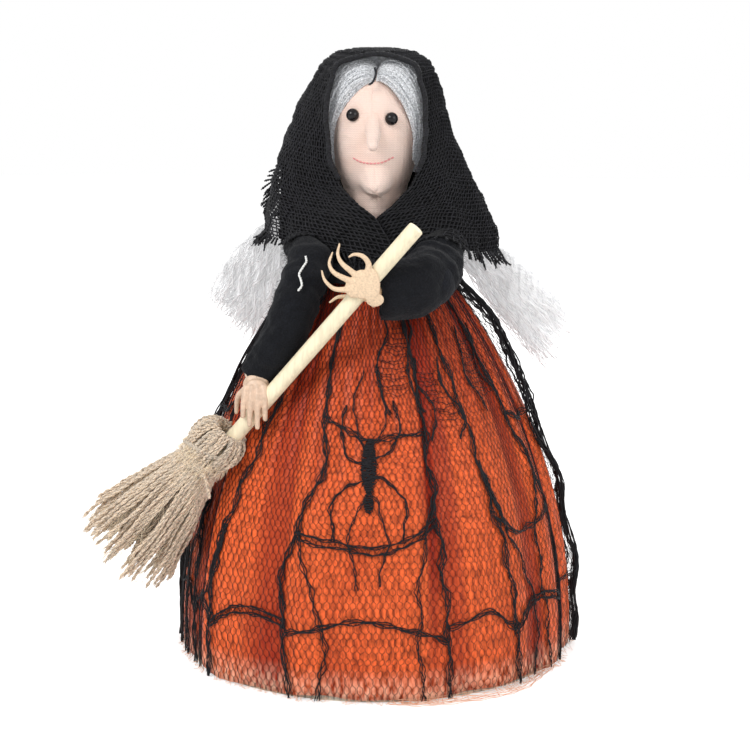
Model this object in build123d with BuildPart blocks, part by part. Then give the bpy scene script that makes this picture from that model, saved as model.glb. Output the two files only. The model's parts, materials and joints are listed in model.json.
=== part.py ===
"""Witch hand puppet: a gathered skirt on a cone, a ball-jointed neck with a finger tube,
a hooded head, two felt arms on button joints, and a broom held in both hands.

Millimetres. Origin at the centre of the hem, on the floor. +Z up, the face looks to -Y,
+X is the puppet's own left.
"""

import math
import os

from build123d import *

# ---------------------------------------------------------------- driving dimensions
# Skirt
skirt_height = 150.0  # floor to the waist seam
hem_radius = 77.5  # outside of the net at the floor
waist_radius = 28.0  # outside of the net at the waist seam
skirt_bulge = 12.8  # how far the side bows out from a straight cone
net_thickness = 0.6
satin_thickness = 0.6
petticoat_thickness = 1.2
layer_gap = 0.3

# Hoop, waist and body
hoop_height = 3.0
hoop_width = 2.8
waist_ring_height = 3.0
waist_opening_radius = 16.5
waist_tie_radius = 0.6
yoke_wall = 3.0  # around the socket
yoke_height = 17.0
yoke_bore_radius = 11.5
bodice_thickness = 1.4
bodice_height = 15.5

# Neck ball and finger tube
neck_ball_radius = 15.0
socket_clearance = 0.4
neck_pivot_above_yoke_base = 13.0
neck_ball_low = 7.0  # ball is cut flat this far under the pivot
neck_ball_high = 6.0  # and this far over it
finger_radius = 9.0
tube_wall = 1.0
tube_top_above_pivot = 42.0
tube_flange_radius = 12.0
tube_flange_height = 1.2
running_clearance = 0.1
seat_clearance = 0.2
soft_clearance = 0.3

# Head
head_half_width = 16.5
head_half_depth = 18.0
head_half_height = 27.0
head_centre_above_pivot = 36.0
neck_cloth_radius = 11.6
nose_length = 16.5
nose_root_radius = 4.0
nose_tip_radius = 1.9
chin_root_radius = 6.0
chin_radius = 3.0
eye_radius = 2.5
eye_spacing = 14.9
eye_socket_clearance = 0.05
thread_radius = 0.35
stitch_length = 1.8
hair_thickness = 1.8
face_in_hair_half_width = 14.5
face_in_hair_half_height = 23.5

# Scarf
scarf_thickness = 1.2
scarf_depth_ratio = 0.72
hood_edge_radius = 44.15  # the hood's lower edge follows this ball about the neck pivot
cape_edge_radius = 41.9  # and the cape's upper edge this one
cape_top_above_pivot = 21.0  # behind, where the head comes back when it nods
hood_crown_above_head = 8.0
hood_crown_radius = 23.5
hood_temple_radius = 31.0
hood_temple_drop = 28.0
cape_half_width = 41.0
cape_shoulder_drop = 60.0
scarf_round = 15.0
face_opening_x = 2.0
face_opening_half_width = 20.0

# Shoulders
shoulder_above_waist = 8.5
disc_radius = 5.6
disc_thickness = 1.2
pin_radius = 1.2
pin_head_radius = 2.4
pin_head_thickness = 1.0
pin_wall = 0.8  # left between the neck socket and the pin's inner end

# Arms
felt_thickness = 1.3
shoulder_sleeve_radius = 5.6
right_elbow_radius = 8.2
right_cuff_radius = 6.7
left_elbow_radius = 11.3
left_cuff_half_height = 11.2
left_cuff_half_depth = 8.0
arm_wire_radius = 0.8
skirt_to_sleeve = 3.0
hand_thickness = 1.2
finger_width = 1.8

# Broom
stick_radius = 3.0
stick_top_length = 29.0  # above the upper grip
stick_clearance = 0.5
stick_edge_round = 0.5
stick_bore_clearance = 0.05
brush_core_radius = 7.0
brush_cap_length = 15.0
brush_binding_width = 4.4
brush_binding_radius = 8.6
brush_fan_length = 47.0
brush_fan_radius = 20.0
brush_offset = 3.6  # the bundle lies this far above the stick's own axis
grip_to_binding = 30.5

# ---------------------------------------------------------------- derived places
body_base = skirt_height + waist_ring_height
neck_pivot = body_base + neck_pivot_above_yoke_base
shoulder_z = body_base + shoulder_above_waist
head_centre = neck_pivot + head_centre_above_pivot
hair_crown_height = hood_crown_above_head - scarf_thickness - soft_clearance
tube_radius = finger_radius + tube_wall
yoke_radius = neck_ball_radius + socket_clearance + yoke_wall
bodice_radius = yoke_radius + seat_clearance + bodice_thickness
body_disc_x = bodice_radius + seat_clearance
arm_disc_x = body_disc_x + disc_thickness + soft_clearance
sleeve_start_x = arm_disc_x + disc_thickness
shoulder_x = sleeve_start_x + shoulder_sleeve_radius + pin_wall
pin_inner_x = neck_ball_radius + socket_clearance + pin_wall
pivot_point = (0, 0, neck_pivot)


def skirt_radius(z):
    """Outside radius of the net skirt at height z: a circular arc from hem to waist."""
    run, rise = hem_radius - waist_radius, skirt_height
    chord = math.hypot(run, rise)
    arc_radius = (chord**2 / 4 + skirt_bulge**2) / (2 * skirt_bulge)
    back = arc_radius - skirt_bulge
    centre_r = (hem_radius + waist_radius) / 2 - back * rise / chord
    centre_z = rise / 2 - back * run / chord
    return centre_r + math.sqrt(arc_radius**2 - (z - centre_z) ** 2)


def around(radius, angle, z):
    """A point at this radius and angle (degrees, from +X) about the body's own axis."""
    turn = math.radians(angle)
    return Vector(radius * math.cos(turn), radius * math.sin(turn), z)


def limb(points, radii, mode=Mode.ADD):
    """Add or cut tapered runs from point to point, with a ball at each bend."""
    for start, end, first, last in zip(points, points[1:], radii, radii[1:]):
        run = Vector(end) - Vector(start)
        foot = (Align.CENTER, Align.CENTER, Align.MIN)
        with Locations(Plane(origin=start, z_dir=run)):
            if first == last:
                Cylinder(first, run.length, align=foot, mode=mode)
            else:
                Cone(first, last, run.length, align=foot, mode=mode)
    for point, radius in zip(points[1:-1], radii[1:-1]):
        with Locations(point):
            Sphere(radius, mode=mode)


def finish(builder, name):
    """Label a finished piece and write its STEP file."""
    builder.part.label = name
    export_step(builder.part, f"parts/{name}.step")


os.makedirs("parts", exist_ok=True)


# ---------------------------------------------------------------- skirt layers
def skirt_layer(name, inset, thickness):
    """One closed cone of cloth, set in from the outside of the net."""
    with BuildPart() as layer:
        with BuildSketch(Plane.XZ):
            with BuildLine():
                outer_hem, outer_waist = hem_radius - inset, waist_radius - inset
                SagittaArc((outer_hem, 0), (outer_waist, skirt_height), -skirt_bulge)
                Line((outer_waist, skirt_height), (outer_waist - thickness, skirt_height))
                SagittaArc(
                    (outer_waist - thickness, skirt_height), (outer_hem - thickness, 0), skirt_bulge
                )
                Line((outer_hem - thickness, 0), (outer_hem, 0))
            make_face()
        revolve(axis=Axis.Z)
    finish(layer, name)


satin_inset = net_thickness + layer_gap
petticoat_inset = satin_inset + satin_thickness + layer_gap
skirt_layer("lace_overskirt", 0, net_thickness)
skirt_layer("satin_skirt", satin_inset, satin_thickness)
skirt_layer("petticoat_cone", petticoat_inset, petticoat_thickness)


def ring(name, outer, inner, low, height):
    """A plain ring about the body's axis."""
    with BuildPart() as part:
        with BuildSketch(Plane.XY.offset(low)):
            Circle(outer)
            Circle(inner, mode=Mode.SUBTRACT)
        extrude(amount=height)
    finish(part, name)


hoop_outer = hem_radius - petticoat_inset - petticoat_thickness - 2 * soft_clearance
hoop_inner = hoop_outer - hoop_width
ring("hem_hoop", hoop_outer, hoop_inner, 0, hoop_height)
ring("waist_ring", waist_radius, waist_opening_radius, skirt_height, waist_ring_height)

with BuildPart() as waist_tie:
    with BuildSketch(Plane.XZ):
        tie_centre = waist_radius + waist_tie_radius + running_clearance
        with Locations((tie_centre, skirt_height + waist_ring_height / 2)):
            Circle(waist_tie_radius)
    revolve(axis=Axis.Z)
finish(waist_tie, "waist_tie")

# ---------------------------------------------------------------- body
pin_hole_radius = pin_radius + running_clearance
with BuildPart() as bodice:
    with BuildSketch(Plane.XY.offset(body_base)):
        Circle(bodice_radius)
        Circle(bodice_radius - bodice_thickness, mode=Mode.SUBTRACT)
    extrude(amount=bodice_height)
    with Locations(Plane(origin=(0, 0, shoulder_z), z_dir=(1, 0, 0))):
        Cylinder(pin_hole_radius, 4 * bodice_radius, mode=Mode.SUBTRACT)
finish(bodice, "bodice")

with BuildPart() as shoulder_yoke:
    with BuildSketch(Plane.XY.offset(body_base)):
        Circle(yoke_radius)
        Circle(yoke_bore_radius, mode=Mode.SUBTRACT)
    extrude(amount=yoke_height)
    with Locations(pivot_point):
        Sphere(neck_ball_radius + socket_clearance, mode=Mode.SUBTRACT)
    for side in (-1, 1):
        with Locations(Plane(origin=(side * pin_inner_x, 0, shoulder_z), z_dir=(side, 0, 0))):
            foot = (Align.CENTER, Align.CENTER, Align.MIN)
            Cylinder(pin_radius, yoke_radius, align=foot, mode=Mode.SUBTRACT)
finish(shoulder_yoke, "shoulder_yoke")


def shoulder_hardware(side, name):
    """Pin and the two felt-faced discs of one button joint."""
    foot = (Align.CENTER, Align.CENTER, Align.MIN)
    outward = (side, 0, 0)

    def at(x):
        return Plane(origin=(side * x, 0, shoulder_z), z_dir=outward)

    pin_head_x = sleeve_start_x + seat_clearance
    with BuildPart() as pin:
        with Locations(at(pin_inner_x)):
            Cylinder(pin_radius, pin_head_x - pin_inner_x, align=foot)
        with Locations(at(pin_head_x)):
            Cylinder(pin_head_radius, pin_head_thickness, align=foot)
    finish(pin, f"shoulder_pin_{name}")
    for disc_x, owner, hole in ((body_disc_x, "body", pin_radius), (arm_disc_x, "arm", pin_hole_radius)):
        with BuildPart() as disc:
            with Locations(at(disc_x)):
                Cylinder(disc_radius, disc_thickness, align=foot)
                Cylinder(hole, disc_thickness, align=foot, mode=Mode.SUBTRACT)
        finish(disc, f"{owner}_disc_{name}")


shoulder_hardware(-1, "right")
shoulder_hardware(1, "left")

# ---------------------------------------------------------------- neck ball and finger tube
ball_bore = tube_radius + running_clearance
with BuildPart() as neck_ring:
    with Locations(pivot_point):
        Sphere(neck_ball_radius)
    ball_height = neck_ball_low + neck_ball_high
    with Locations((0, 0, neck_pivot - neck_ball_low)):
        foot = (Align.CENTER, Align.CENTER, Align.MIN)
        Cylinder(neck_ball_radius, ball_height, align=foot, mode=Mode.INTERSECT)
        Cylinder(ball_bore, ball_height, align=foot, mode=Mode.SUBTRACT)
finish(neck_ring, "neck_ring")

tube_bottom = neck_pivot - neck_ball_low - soft_clearance - tube_flange_height
tube_top = neck_pivot + tube_top_above_pivot
with BuildPart() as neck_tube:
    with BuildSketch(Plane.XY.offset(tube_bottom)):
        Circle(tube_radius)
        Circle(finger_radius, mode=Mode.SUBTRACT)
    extrude(amount=tube_top - tube_bottom)
    with BuildSketch(Plane.XY.offset(tube_bottom)):
        Circle(tube_flange_radius)
        Circle(finger_radius, mode=Mode.SUBTRACT)
    extrude(amount=tube_flange_height)
finish(neck_tube, "neck_tube")


# ---------------------------------------------------------------- head
def face_y(x, z, out=0.0):
    """Y of the stuffed head's front at this x and z, moved out by a little."""
    part = 1 - (x / head_half_width) ** 2 - ((z - head_centre) / head_half_height) ** 2
    return -head_half_depth * math.sqrt(part) - out


def egg(half_width, half_depth, half_height, mode=Mode.ADD):
    """An ellipsoid about the head's centre."""
    ball = Solid.make_sphere(1.0, angle1=-90, angle2=90, angle3=360)
    shape = scale(ball, by=(half_width, half_depth, half_height), mode=Mode.PRIVATE)
    add(shape.moved(Location((0, 0, head_centre))), mode=mode)


neck_cloth_low = neck_pivot + neck_ball_high + soft_clearance
nose_root = Vector(1.0, -14.0, head_centre + 4.0)
nose_tip = nose_root + Vector(0.07, -0.94, -0.33).normalized() * (nose_length - nose_tip_radius)
chin_root = Vector(1.5, -11.0, head_centre - 14.5)
chin_tip = Vector(2.2, -18.6, head_centre - 17.0)
eye_points = []
for side, height in ((-1, 10.3), (1, 8.9)):
    eye_x = 0.45 + side * eye_spacing / 2
    eye_points.append((eye_x, face_y(eye_x, head_centre + height, 0.3), head_centre + height))

with BuildPart() as head:
    egg(head_half_width, head_half_depth, head_half_height)
    with Locations((0, 0, neck_cloth_low)):
        Cylinder(
            neck_cloth_radius, head_centre - neck_cloth_low, align=(Align.CENTER, Align.CENTER, Align.MIN)
        )
    limb([nose_root, nose_tip], [nose_root_radius, nose_tip_radius])
    with Locations(nose_tip):
        Sphere(nose_tip_radius)
    limb([chin_root, chin_tip], [chin_root_radius, chin_radius])
    with Locations(chin_tip):
        Sphere(chin_radius)
    with Locations(*eye_points):
        Sphere(eye_radius + eye_socket_clearance, mode=Mode.SUBTRACT)
    with Locations((0, 0, neck_cloth_low)):
        Cylinder(
            tube_radius,
            tube_top - neck_cloth_low + soft_clearance,
            align=(Align.CENTER, Align.CENTER, Align.MIN),
            mode=Mode.SUBTRACT,
        )
finish(head, "head")

for name, point in zip(("right", "left"), eye_points):
    with BuildPart() as eye:
        with Locations(point):
            Sphere(eye_radius)
    finish(eye, f"eye_{name}")

mouth_z = head_centre - 7.0
mouth_ends = [(-6.4, mouth_z + 1.0), (0.7, mouth_z - 0.5), (8.1, mouth_z + 1.2)]
mouth_points = [(x, face_y(x, z, 2.6 * thread_radius), z) for x, z in mouth_ends]
with BuildPart() as mouth_thread:
    with BuildLine() as mouth_line:
        ThreePointArc(*mouth_points)
    with BuildSketch(Plane(origin=mouth_line.wire() @ 0, z_dir=mouth_line.wire() % 0)):
        Circle(thread_radius)
    sweep(path=mouth_line.wire())
finish(mouth_thread, "mouth_thread")

seam_x = 1.2
seam_heights = [19.0, 16.0, 13.0, -9.8]
with BuildPart() as face_seam:
    for height in seam_heights:
        z = head_centre + height - stitch_length / 2
        low_end = Vector(seam_x, face_y(seam_x, z, 0.5), z)
        high_z = z + stitch_length
        along = Vector(seam_x, face_y(seam_x, high_z, 0.5), high_z) - low_end
        with Locations(Plane(origin=low_end, z_dir=along)):
            Cylinder(thread_radius, along.length, align=(Align.CENTER, Align.CENTER, Align.MIN))
finish(face_seam, "face_seam")

# Hair on the head: one shell over the stuffing, parted in front
hair_low = head_centre - 12.0
parting_x = 1.5
hair_regions = {
    "hair_front_right": ((-60, parting_x), (-60, 0)),
    "hair_front_left": ((parting_x, 60), (-60, 0)),
    "hair_crown": ((-60, 60), (0, 60)),
}
crown_top = head_centre + head_half_height + hair_crown_height
for name, (x_span, y_span) in hair_regions.items():
    with BuildPart() as hair:
        egg(
            head_half_width + hair_thickness,
            head_half_depth + hair_thickness,
            head_half_height + hair_crown_height,
        )
        egg(head_half_width + 0.05, head_half_depth + 0.05, head_half_height + 0.05, Mode.SUBTRACT)
        with BuildSketch(Plane.XZ):
            with Locations((parting_x, head_centre + 1.0)):
                Ellipse(face_in_hair_half_width, face_in_hair_half_height)
        extrude(amount=60, mode=Mode.SUBTRACT)
        with Locations(((x_span[0] + x_span[1]) / 2, (y_span[0] + y_span[1]) / 2, hair_low)):
            Box(
                x_span[1] - x_span[0],
                y_span[1] - y_span[0],
                crown_top - hair_low + 5,
                align=(Align.CENTER, Align.CENTER, Align.MIN),
                mode=Mode.INTERSECT,
            )
    finish(hair, name)

# ---------------------------------------------------------------- scarf
# The cloth is a thin bell, wider than deep. It is drawn round and cut, then pressed
# flatter along Y. Hood and cape part on either side of a ball about the neck pivot, so
# that the hood clears the cape while the head nods and turns.
hood_top = head_centre + head_half_height + hood_crown_above_head
temple_z = hood_top - hood_temple_drop
cape_shoulder_z = hood_top - cape_shoulder_drop
cape_low = neck_pivot - 1.0


def scarf_bell(inset, mode=Mode.ADD):
    """The solid bell inside the scarf's outer face, less an inset."""
    with BuildSketch(Plane.XZ) as profile:
        with BuildLine():
            FilletPolyline(
                (0, hood_top - inset),
                (hood_crown_radius - inset, hood_top - inset),
                (hood_temple_radius - inset, temple_z),
                (cape_half_width - inset, cape_shoulder_z),
                (cape_half_width - inset, cape_low),
                radius=scarf_round,
            )
            Polyline((cape_half_width - inset, cape_low), (0, cape_low), (0, hood_top - inset))
        make_face()
    revolve(profile.sketch, axis=Axis.Z, mode=mode)


def split_height(half_width, radius):
    """Height where the shell, this far out to the side, meets the ball of this radius."""
    slack = hood_temple_radius + 2.0
    depth = scarf_depth_ratio * math.sqrt(max(slack**2 - half_width**2, 0))
    return neck_pivot + math.sqrt(radius**2 - half_width**2 - depth**2)


def split_prism(radius, low, mode):
    """Cut by a prism along Y whose top edge follows the ball."""
    edge = [(x, split_height(abs(x), radius)) for x in (-41, -36, -28, -14, 0, 14, 28, 36, 41)]
    with BuildSketch(Plane.XZ) as prism:
        with BuildLine():
            Polyline((-60, edge[0][1] - 2), *edge, (60, edge[-1][1] - 2), (60, low), (-60, low), close=True)
        make_face()
    extrude(prism.sketch, amount=80, both=True, mode=mode)


def flatten(builder):
    """The round bell pressed to its true depth."""
    return scale(builder.part, by=(1, scarf_depth_ratio, 1), mode=Mode.PRIVATE)


with BuildPart() as round_hood:
    scarf_bell(0)
    scarf_bell(scarf_thickness, mode=Mode.SUBTRACT)
    split_prism(hood_edge_radius, cape_low - 10, Mode.SUBTRACT)
    with BuildSketch(Plane.XZ):
        with Locations((face_opening_x, head_centre)):
            Ellipse(face_opening_half_width, head_half_height + 4.0)
    extrude(amount=80, mode=Mode.SUBTRACT)
with BuildPart() as scarf_hood:
    add(flatten(round_hood))
finish(scarf_hood, "scarf_hood")

cape_front_y = -8.0
with BuildPart() as round_cape:
    scarf_bell(0)
    scarf_bell(scarf_thickness, mode=Mode.SUBTRACT)
    split_prism(cape_edge_radius, cape_low - 10, Mode.INTERSECT)
    with Locations((0, cape_front_y / scarf_depth_ratio, neck_pivot)):
        Box(200, 100, 200, align=(Align.CENTER, Align.MAX, Align.CENTER), mode=Mode.SUBTRACT)
    with Locations((0, 0, neck_pivot + cape_top_above_pivot)):
        Box(200, 200, 100, align=(Align.CENTER, Align.CENTER, Align.MIN), mode=Mode.SUBTRACT)
with BuildPart() as scarf_cape:
    add(flatten(round_cape))
finish(scarf_cape, "scarf_cape")

scarf_front_radius = bodice_radius + seat_clearance
with BuildPart() as scarf_front:
    with BuildSketch(Plane.XY.offset(body_base + 5)):
        Circle(scarf_front_radius + scarf_thickness)
        Circle(scarf_front_radius, mode=Mode.SUBTRACT)
        with Locations((0, -scarf_front_radius)):
            Rectangle(1.15 * scarf_front_radius, scarf_front_radius, mode=Mode.INTERSECT)
    extrude(amount=11.5)
finish(scarf_front, "scarf_front")

# Long hair that spills from under the scarf to each side
tress_radii = [3.8, 4.3, 4.4, 6.2, 8.5, 5.0]
for side, name, tip in ((-1, "right", (60, 6, -33)), (1, "left", (68, 6, -36))):
    tress_points = [
        (side * 13, 20.5, neck_pivot + 2),
        (side * 26, 14, neck_pivot + 2),
        (side * 28.5, 13, neck_pivot - 3.5),
        (side * 41, 9, neck_pivot - 11),
        (side * 54, 7, neck_pivot - 20),
        (side * tip[0], tip[1], neck_pivot + tip[2]),
    ]
    with BuildPart() as tress:
        limb(tress_points, tress_radii)
        with Locations(tress_points[0]):
            Sphere(tress_radii[0])
    finish(tress, f"hair_tress_{name}")

# ---------------------------------------------------------------- arms
right_cuff_z = shoulder_z - 46.5
right_elbow_z = shoulder_z - 29.5
right_cuff = around(skirt_radius(right_cuff_z) + skirt_to_sleeve + right_cuff_radius, 227.3, right_cuff_z)
right_elbow = around(
    skirt_radius(right_elbow_z) + 2 * skirt_to_sleeve + right_elbow_radius, 237.5, right_elbow_z
)
right_arm_points = [
    Vector(-sleeve_start_x, 0, shoulder_z),
    Vector(-shoulder_x, 0, shoulder_z),
    Vector(0.5 - shoulder_x, -9, shoulder_z - 0.5),
    Vector(-21.5, -30, shoulder_z - 3.5),
    right_elbow,
    right_cuff,
]
right_arm_radii = [
    shoulder_sleeve_radius,
    shoulder_sleeve_radius,
    shoulder_sleeve_radius + 0.2,
    7.6,
    right_elbow_radius,
    right_cuff_radius,
]

left_upper_arm = Vector(27.8, -18, shoulder_z - 1.5)
left_elbow = Vector(24.3, -37, shoulder_z - 10.0)
left_cuff = Vector(8.2, -48, shoulder_z - 12.8)
left_arm_points = [
    Vector(sleeve_start_x, 0, shoulder_z),
    Vector(shoulder_x, 0, shoulder_z),
    Vector(shoulder_x - 0.2, -8, shoulder_z - 0.3),
    left_upper_arm,
    left_elbow,
]
left_arm_radii = [
    shoulder_sleeve_radius,
    shoulder_sleeve_radius,
    shoulder_sleeve_radius + 0.1,
    7.2,
    left_elbow_radius,
]


def right_arm_form(inset, end_short=0.0, mode=Mode.ADD):
    """The right sleeve's outside, or a form set in from it."""
    points = list(right_arm_points)
    last_run = (points[-1] - points[-2]).normalized()
    points[-1] = points[-1] - last_run * end_short
    limb(points, [radius - inset for radius in right_arm_radii], mode=mode)


def left_arm_form(inset, end_short=0.0, mode=Mode.ADD):
    """The left sleeve: a round upper arm, and a forearm taller than deep at the cuff."""
    limb(left_arm_points, [radius - inset for radius in left_arm_radii], mode=mode)
    forearm = left_cuff - left_elbow
    end = left_cuff - forearm.normalized() * end_short
    with Locations(left_elbow):
        Sphere(left_elbow_radius - inset, mode=mode)
    across = Vector(0, 0, 1).cross(forearm)
    with BuildSketch(Plane(origin=left_elbow, x_dir=across, z_dir=forearm)) as elbow_round:
        Circle(left_elbow_radius - inset)
    with BuildSketch(Plane(origin=end, x_dir=across, z_dir=forearm)) as cuff_oval:
        Ellipse(left_cuff_half_depth - inset, left_cuff_half_height - inset)
    loft([elbow_round.sketch, cuff_oval.sketch], mode=mode)


padding_inset = felt_thickness + 0.1
wire_hole = arm_wire_radius + 0.1
cuff_hollow = 9.0
wire_start = sleeve_start_x + 2.2
for name, form, points in (
    ("right", right_arm_form, right_arm_points),
    ("left", left_arm_form, left_arm_points + [left_cuff]),
):
    side = 1 if name == "left" else -1
    with BuildPart() as sleeve:
        form(0.0)
        form(felt_thickness, mode=Mode.SUBTRACT)
    finish(sleeve, f"sleeve_{name}")

    run = (points[-1] - points[-2]).normalized()
    wire_points = [Vector(side * wire_start, 0, shoulder_z), *points[1:-1], points[-1] - run * 3.0]
    with BuildPart() as wire:
        limb(wire_points, [arm_wire_radius] * len(wire_points))
    finish(wire, f"arm_wire_{name}")

    with BuildPart() as padding:
        form(padding_inset, end_short=cuff_hollow)
        limb(wire_points, [wire_hole] * len(wire_points), mode=Mode.SUBTRACT)
        pocket = Plane(origin=(side * arm_disc_x, 0, shoulder_z), z_dir=(side, 0, 0))
        with Locations(pocket):
            foot = (Align.CENTER, Align.CENTER, Align.MIN)
            Cylinder(disc_radius, wire_start - arm_disc_x, align=foot, mode=Mode.SUBTRACT)
    finish(padding, f"arm_padding_{name}")

# ---------------------------------------------------------------- broom
lower_grip = right_cuff + Vector(1.2, -6.6, -11.3)
upper_grip = left_cuff + Vector(-5.8, -9.2, 3.0)
stick_line = (upper_grip - lower_grip).normalized()
stick_top = upper_grip + stick_line * stick_top_length
binding_on_stick = lower_grip - stick_line * grip_to_binding
stick_foot = (Align.CENTER, Align.CENTER, Align.MIN)
brush_side = Vector(-stick_line.Z, 0, stick_line.X).normalized()
binding_centre = binding_on_stick + brush_side * brush_offset
fan_line = stick_line * -1
stick_end = binding_on_stick + fan_line * (brush_fan_length / 3)

with BuildPart() as broom_stick:
    with Locations(Plane(origin=stick_end, z_dir=stick_line)):
        Cylinder(stick_radius, (stick_top - stick_end).length, align=stick_foot)
    fillet(broom_stick.edges(), stick_edge_round)
finish(broom_stick, "broom_stick")

half_binding = brush_binding_width / 2


def brush_piece(name, profile):
    """A turned piece of the brush: profile points are (radius, distance below the binding)."""
    with BuildPart() as piece:
        with BuildSketch(Plane(origin=binding_centre, x_dir=brush_side, z_dir=brush_side.cross(fan_line))):
            with BuildLine():
                Polyline(*profile, close=True)
            make_face()
        revolve(axis=Axis(binding_centre, fan_line))
        with Locations(Plane(origin=stick_end, z_dir=stick_line)):
            Cylinder(stick_radius + stick_bore_clearance, 200, align=stick_foot, mode=Mode.SUBTRACT)
    finish(piece, name)


core_end = brush_fan_length / 3 + 3.0
brush_piece(
    "brush_core",
    [
        (0, 2.0 - brush_cap_length),
        (brush_core_radius - 0.1, 2.0 - brush_cap_length),
        (brush_core_radius - 0.1, core_end),
        (0, core_end),
    ],
)
brush_piece(
    "brush_cap",
    [
        (brush_core_radius, -half_binding),
        (brush_core_radius, 2.0 - brush_cap_length),
        (brush_core_radius - 2.5, -brush_cap_length),
        (brush_core_radius - 0.5, -brush_cap_length - 1.5),
        (brush_core_radius + 2.4, 3.0 - brush_cap_length),
        (brush_core_radius + 2.2, -half_binding - 4.0),
        (brush_core_radius + 1.2, -half_binding),
    ],
)
brush_piece(
    "brush_binding",
    [
        (brush_core_radius, -half_binding),
        (brush_binding_radius, -half_binding),
        (brush_binding_radius, half_binding),
        (brush_core_radius, half_binding),
    ],
)
fan_end = half_binding + brush_fan_length
brush_piece(
    "brush_fan",
    [
        (brush_core_radius, half_binding),
        (brush_core_radius + 1.2, half_binding),
        (brush_core_radius + 5.5, half_binding + 0.33 * brush_fan_length),
        (brush_fan_radius, fan_end),
        (0, fan_end),
        (0, core_end + soft_clearance),
        (brush_core_radius, core_end + soft_clearance),
    ],
)


# ---------------------------------------------------------------- hands
def finger(points, width):
    """One bent finger traced along its joints, in the open sketch."""
    with BuildLine() as bones:
        Polyline(*points)
    trace(bones.line, line_width=width)


def stick_y(x):
    """Y of the stick's axis above this x."""
    return lower_grip.Y + (x - lower_grip.X) * stick_line.Y / stick_line.X


def xz(point):
    """A point's place in a sketch on the XZ plane."""
    return (point.X, point.Z)


palm_x, palm_z = xz(upper_grip)
left_palm_back = -stick_y(palm_x + 5) + stick_radius + stick_clearance
left_fingers = [
    [(1.0, 4.0), (1.4, 11.0), (-3.6, 11.6)],
    [(-1.5, 3.0), (-7.2, 9.2), (-8.8, 12.6), (-8.2, 15.6)],
    [(-3.0, 1.5), (-10.0, 5.2), (-11.6, 8.6), (-10.8, 12.4)],
    [(-3.0, -1.0), (-10.2, -0.4), (-13.6, 3.2), (-14.6, 5.8)],
]
left_palm = [(5.7, -7.2), (4.4, 5.0), (2.2, 7.6), (-2.6, 5.6), (-5.8, 3.8), (-5.8, -1.4), (-0.8, -5.4)]
tab_y = left_cuff.Y - 3.4
tab_low, tab_high = palm_z - 8.6, palm_z - 4.0
with BuildPart() as hand_left:
    with BuildSketch(Plane.XZ.offset(left_palm_back)):
        with BuildLine():
            Polyline(*[(palm_x + x, palm_z + z) for x, z in left_palm], close=True)
        make_face()
        for joints in left_fingers:
            finger([(palm_x + x, palm_z + z) for x, z in joints], finger_width)
    extrude(amount=hand_thickness)
    with BuildSketch(Plane.XY.offset(tab_low)):
        palm_mid_y = -left_palm_back - hand_thickness / 2
        finger(
            [
                (left_cuff.X + 6.0, left_cuff.Y + 3.0),
                (palm_x + 5.4, tab_y),
                (palm_x + 4.2, palm_mid_y),
                (palm_x + 1.0, palm_mid_y),
            ],
            hand_thickness,
        )
    extrude(amount=tab_high - tab_low)
    thumb_back = -stick_y(palm_x - 8) - stick_radius - stick_clearance - hand_thickness
    with BuildSketch(Plane.XZ.offset(thumb_back)):
        finger([(palm_x + 5, palm_z - 6.4), (palm_x - 4, palm_z - 5.0), (palm_x - 12.6, palm_z - 6.0)], 2.4)
    extrude(amount=hand_thickness)
finish(hand_left, "hand_left")

grip_x, grip_z = xz(lower_grip)
right_palm_back = -stick_y(grip_x + 5) + stick_radius + stick_clearance
right_fingers = [
    [(-2.6, 3.5), (-3.4, -2.3)],
    [(-0.6, 3.0), (-0.6, -5.8)],
    [(1.8, 3.5), (3.2, -6.4)],
    [(3.8, 4.5), (4.9, -1.2)],
]
right_palm = [(-4.2, 2.4), (-4.4, 7.2), (4.4, 7.2), (4.8, 3.2)]
with BuildPart() as hand_right:
    with BuildSketch(Plane.XZ.offset(right_palm_back)):
        with BuildLine():
            Polyline(*[(grip_x + x, grip_z + z) for x, z in right_palm], close=True)
        make_face()
        for joints in right_fingers:
            finger([(grip_x + x, grip_z + z) for x, z in joints], finger_width)
    extrude(amount=hand_thickness)
    with BuildSketch(Plane.YZ.offset(grip_x - 2.4)):
        palm_mid_y = -right_palm_back - hand_thickness / 2
        finger(
            [
                (palm_mid_y, grip_z + 4),
                (palm_mid_y, grip_z + 6.6),
                (right_cuff.Y - 3.6, grip_z + 8.4),
                (right_cuff.Y - 2.8, grip_z + 14.0),
            ],
            hand_thickness,
        )
    extrude(amount=4.2)
    with Locations(Plane(origin=lower_grip - stick_line * 1.5, z_dir=stick_line)):
        Cylinder(stick_radius + 1.2, 4.0, align=stick_foot)
        Cylinder(stick_radius + 0.1, 4.0, align=stick_foot, mode=Mode.SUBTRACT)
finish(hand_right, "hand_right")
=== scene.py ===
"""Looks of the witch hand puppet: its cloth, lace, hair, felt and broom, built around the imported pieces.

Shapes are worked out in millimetres, in the frame's own axes (+Z up, the face looks to -Y),
and turned into metres where a mesh is made.
"""

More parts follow.
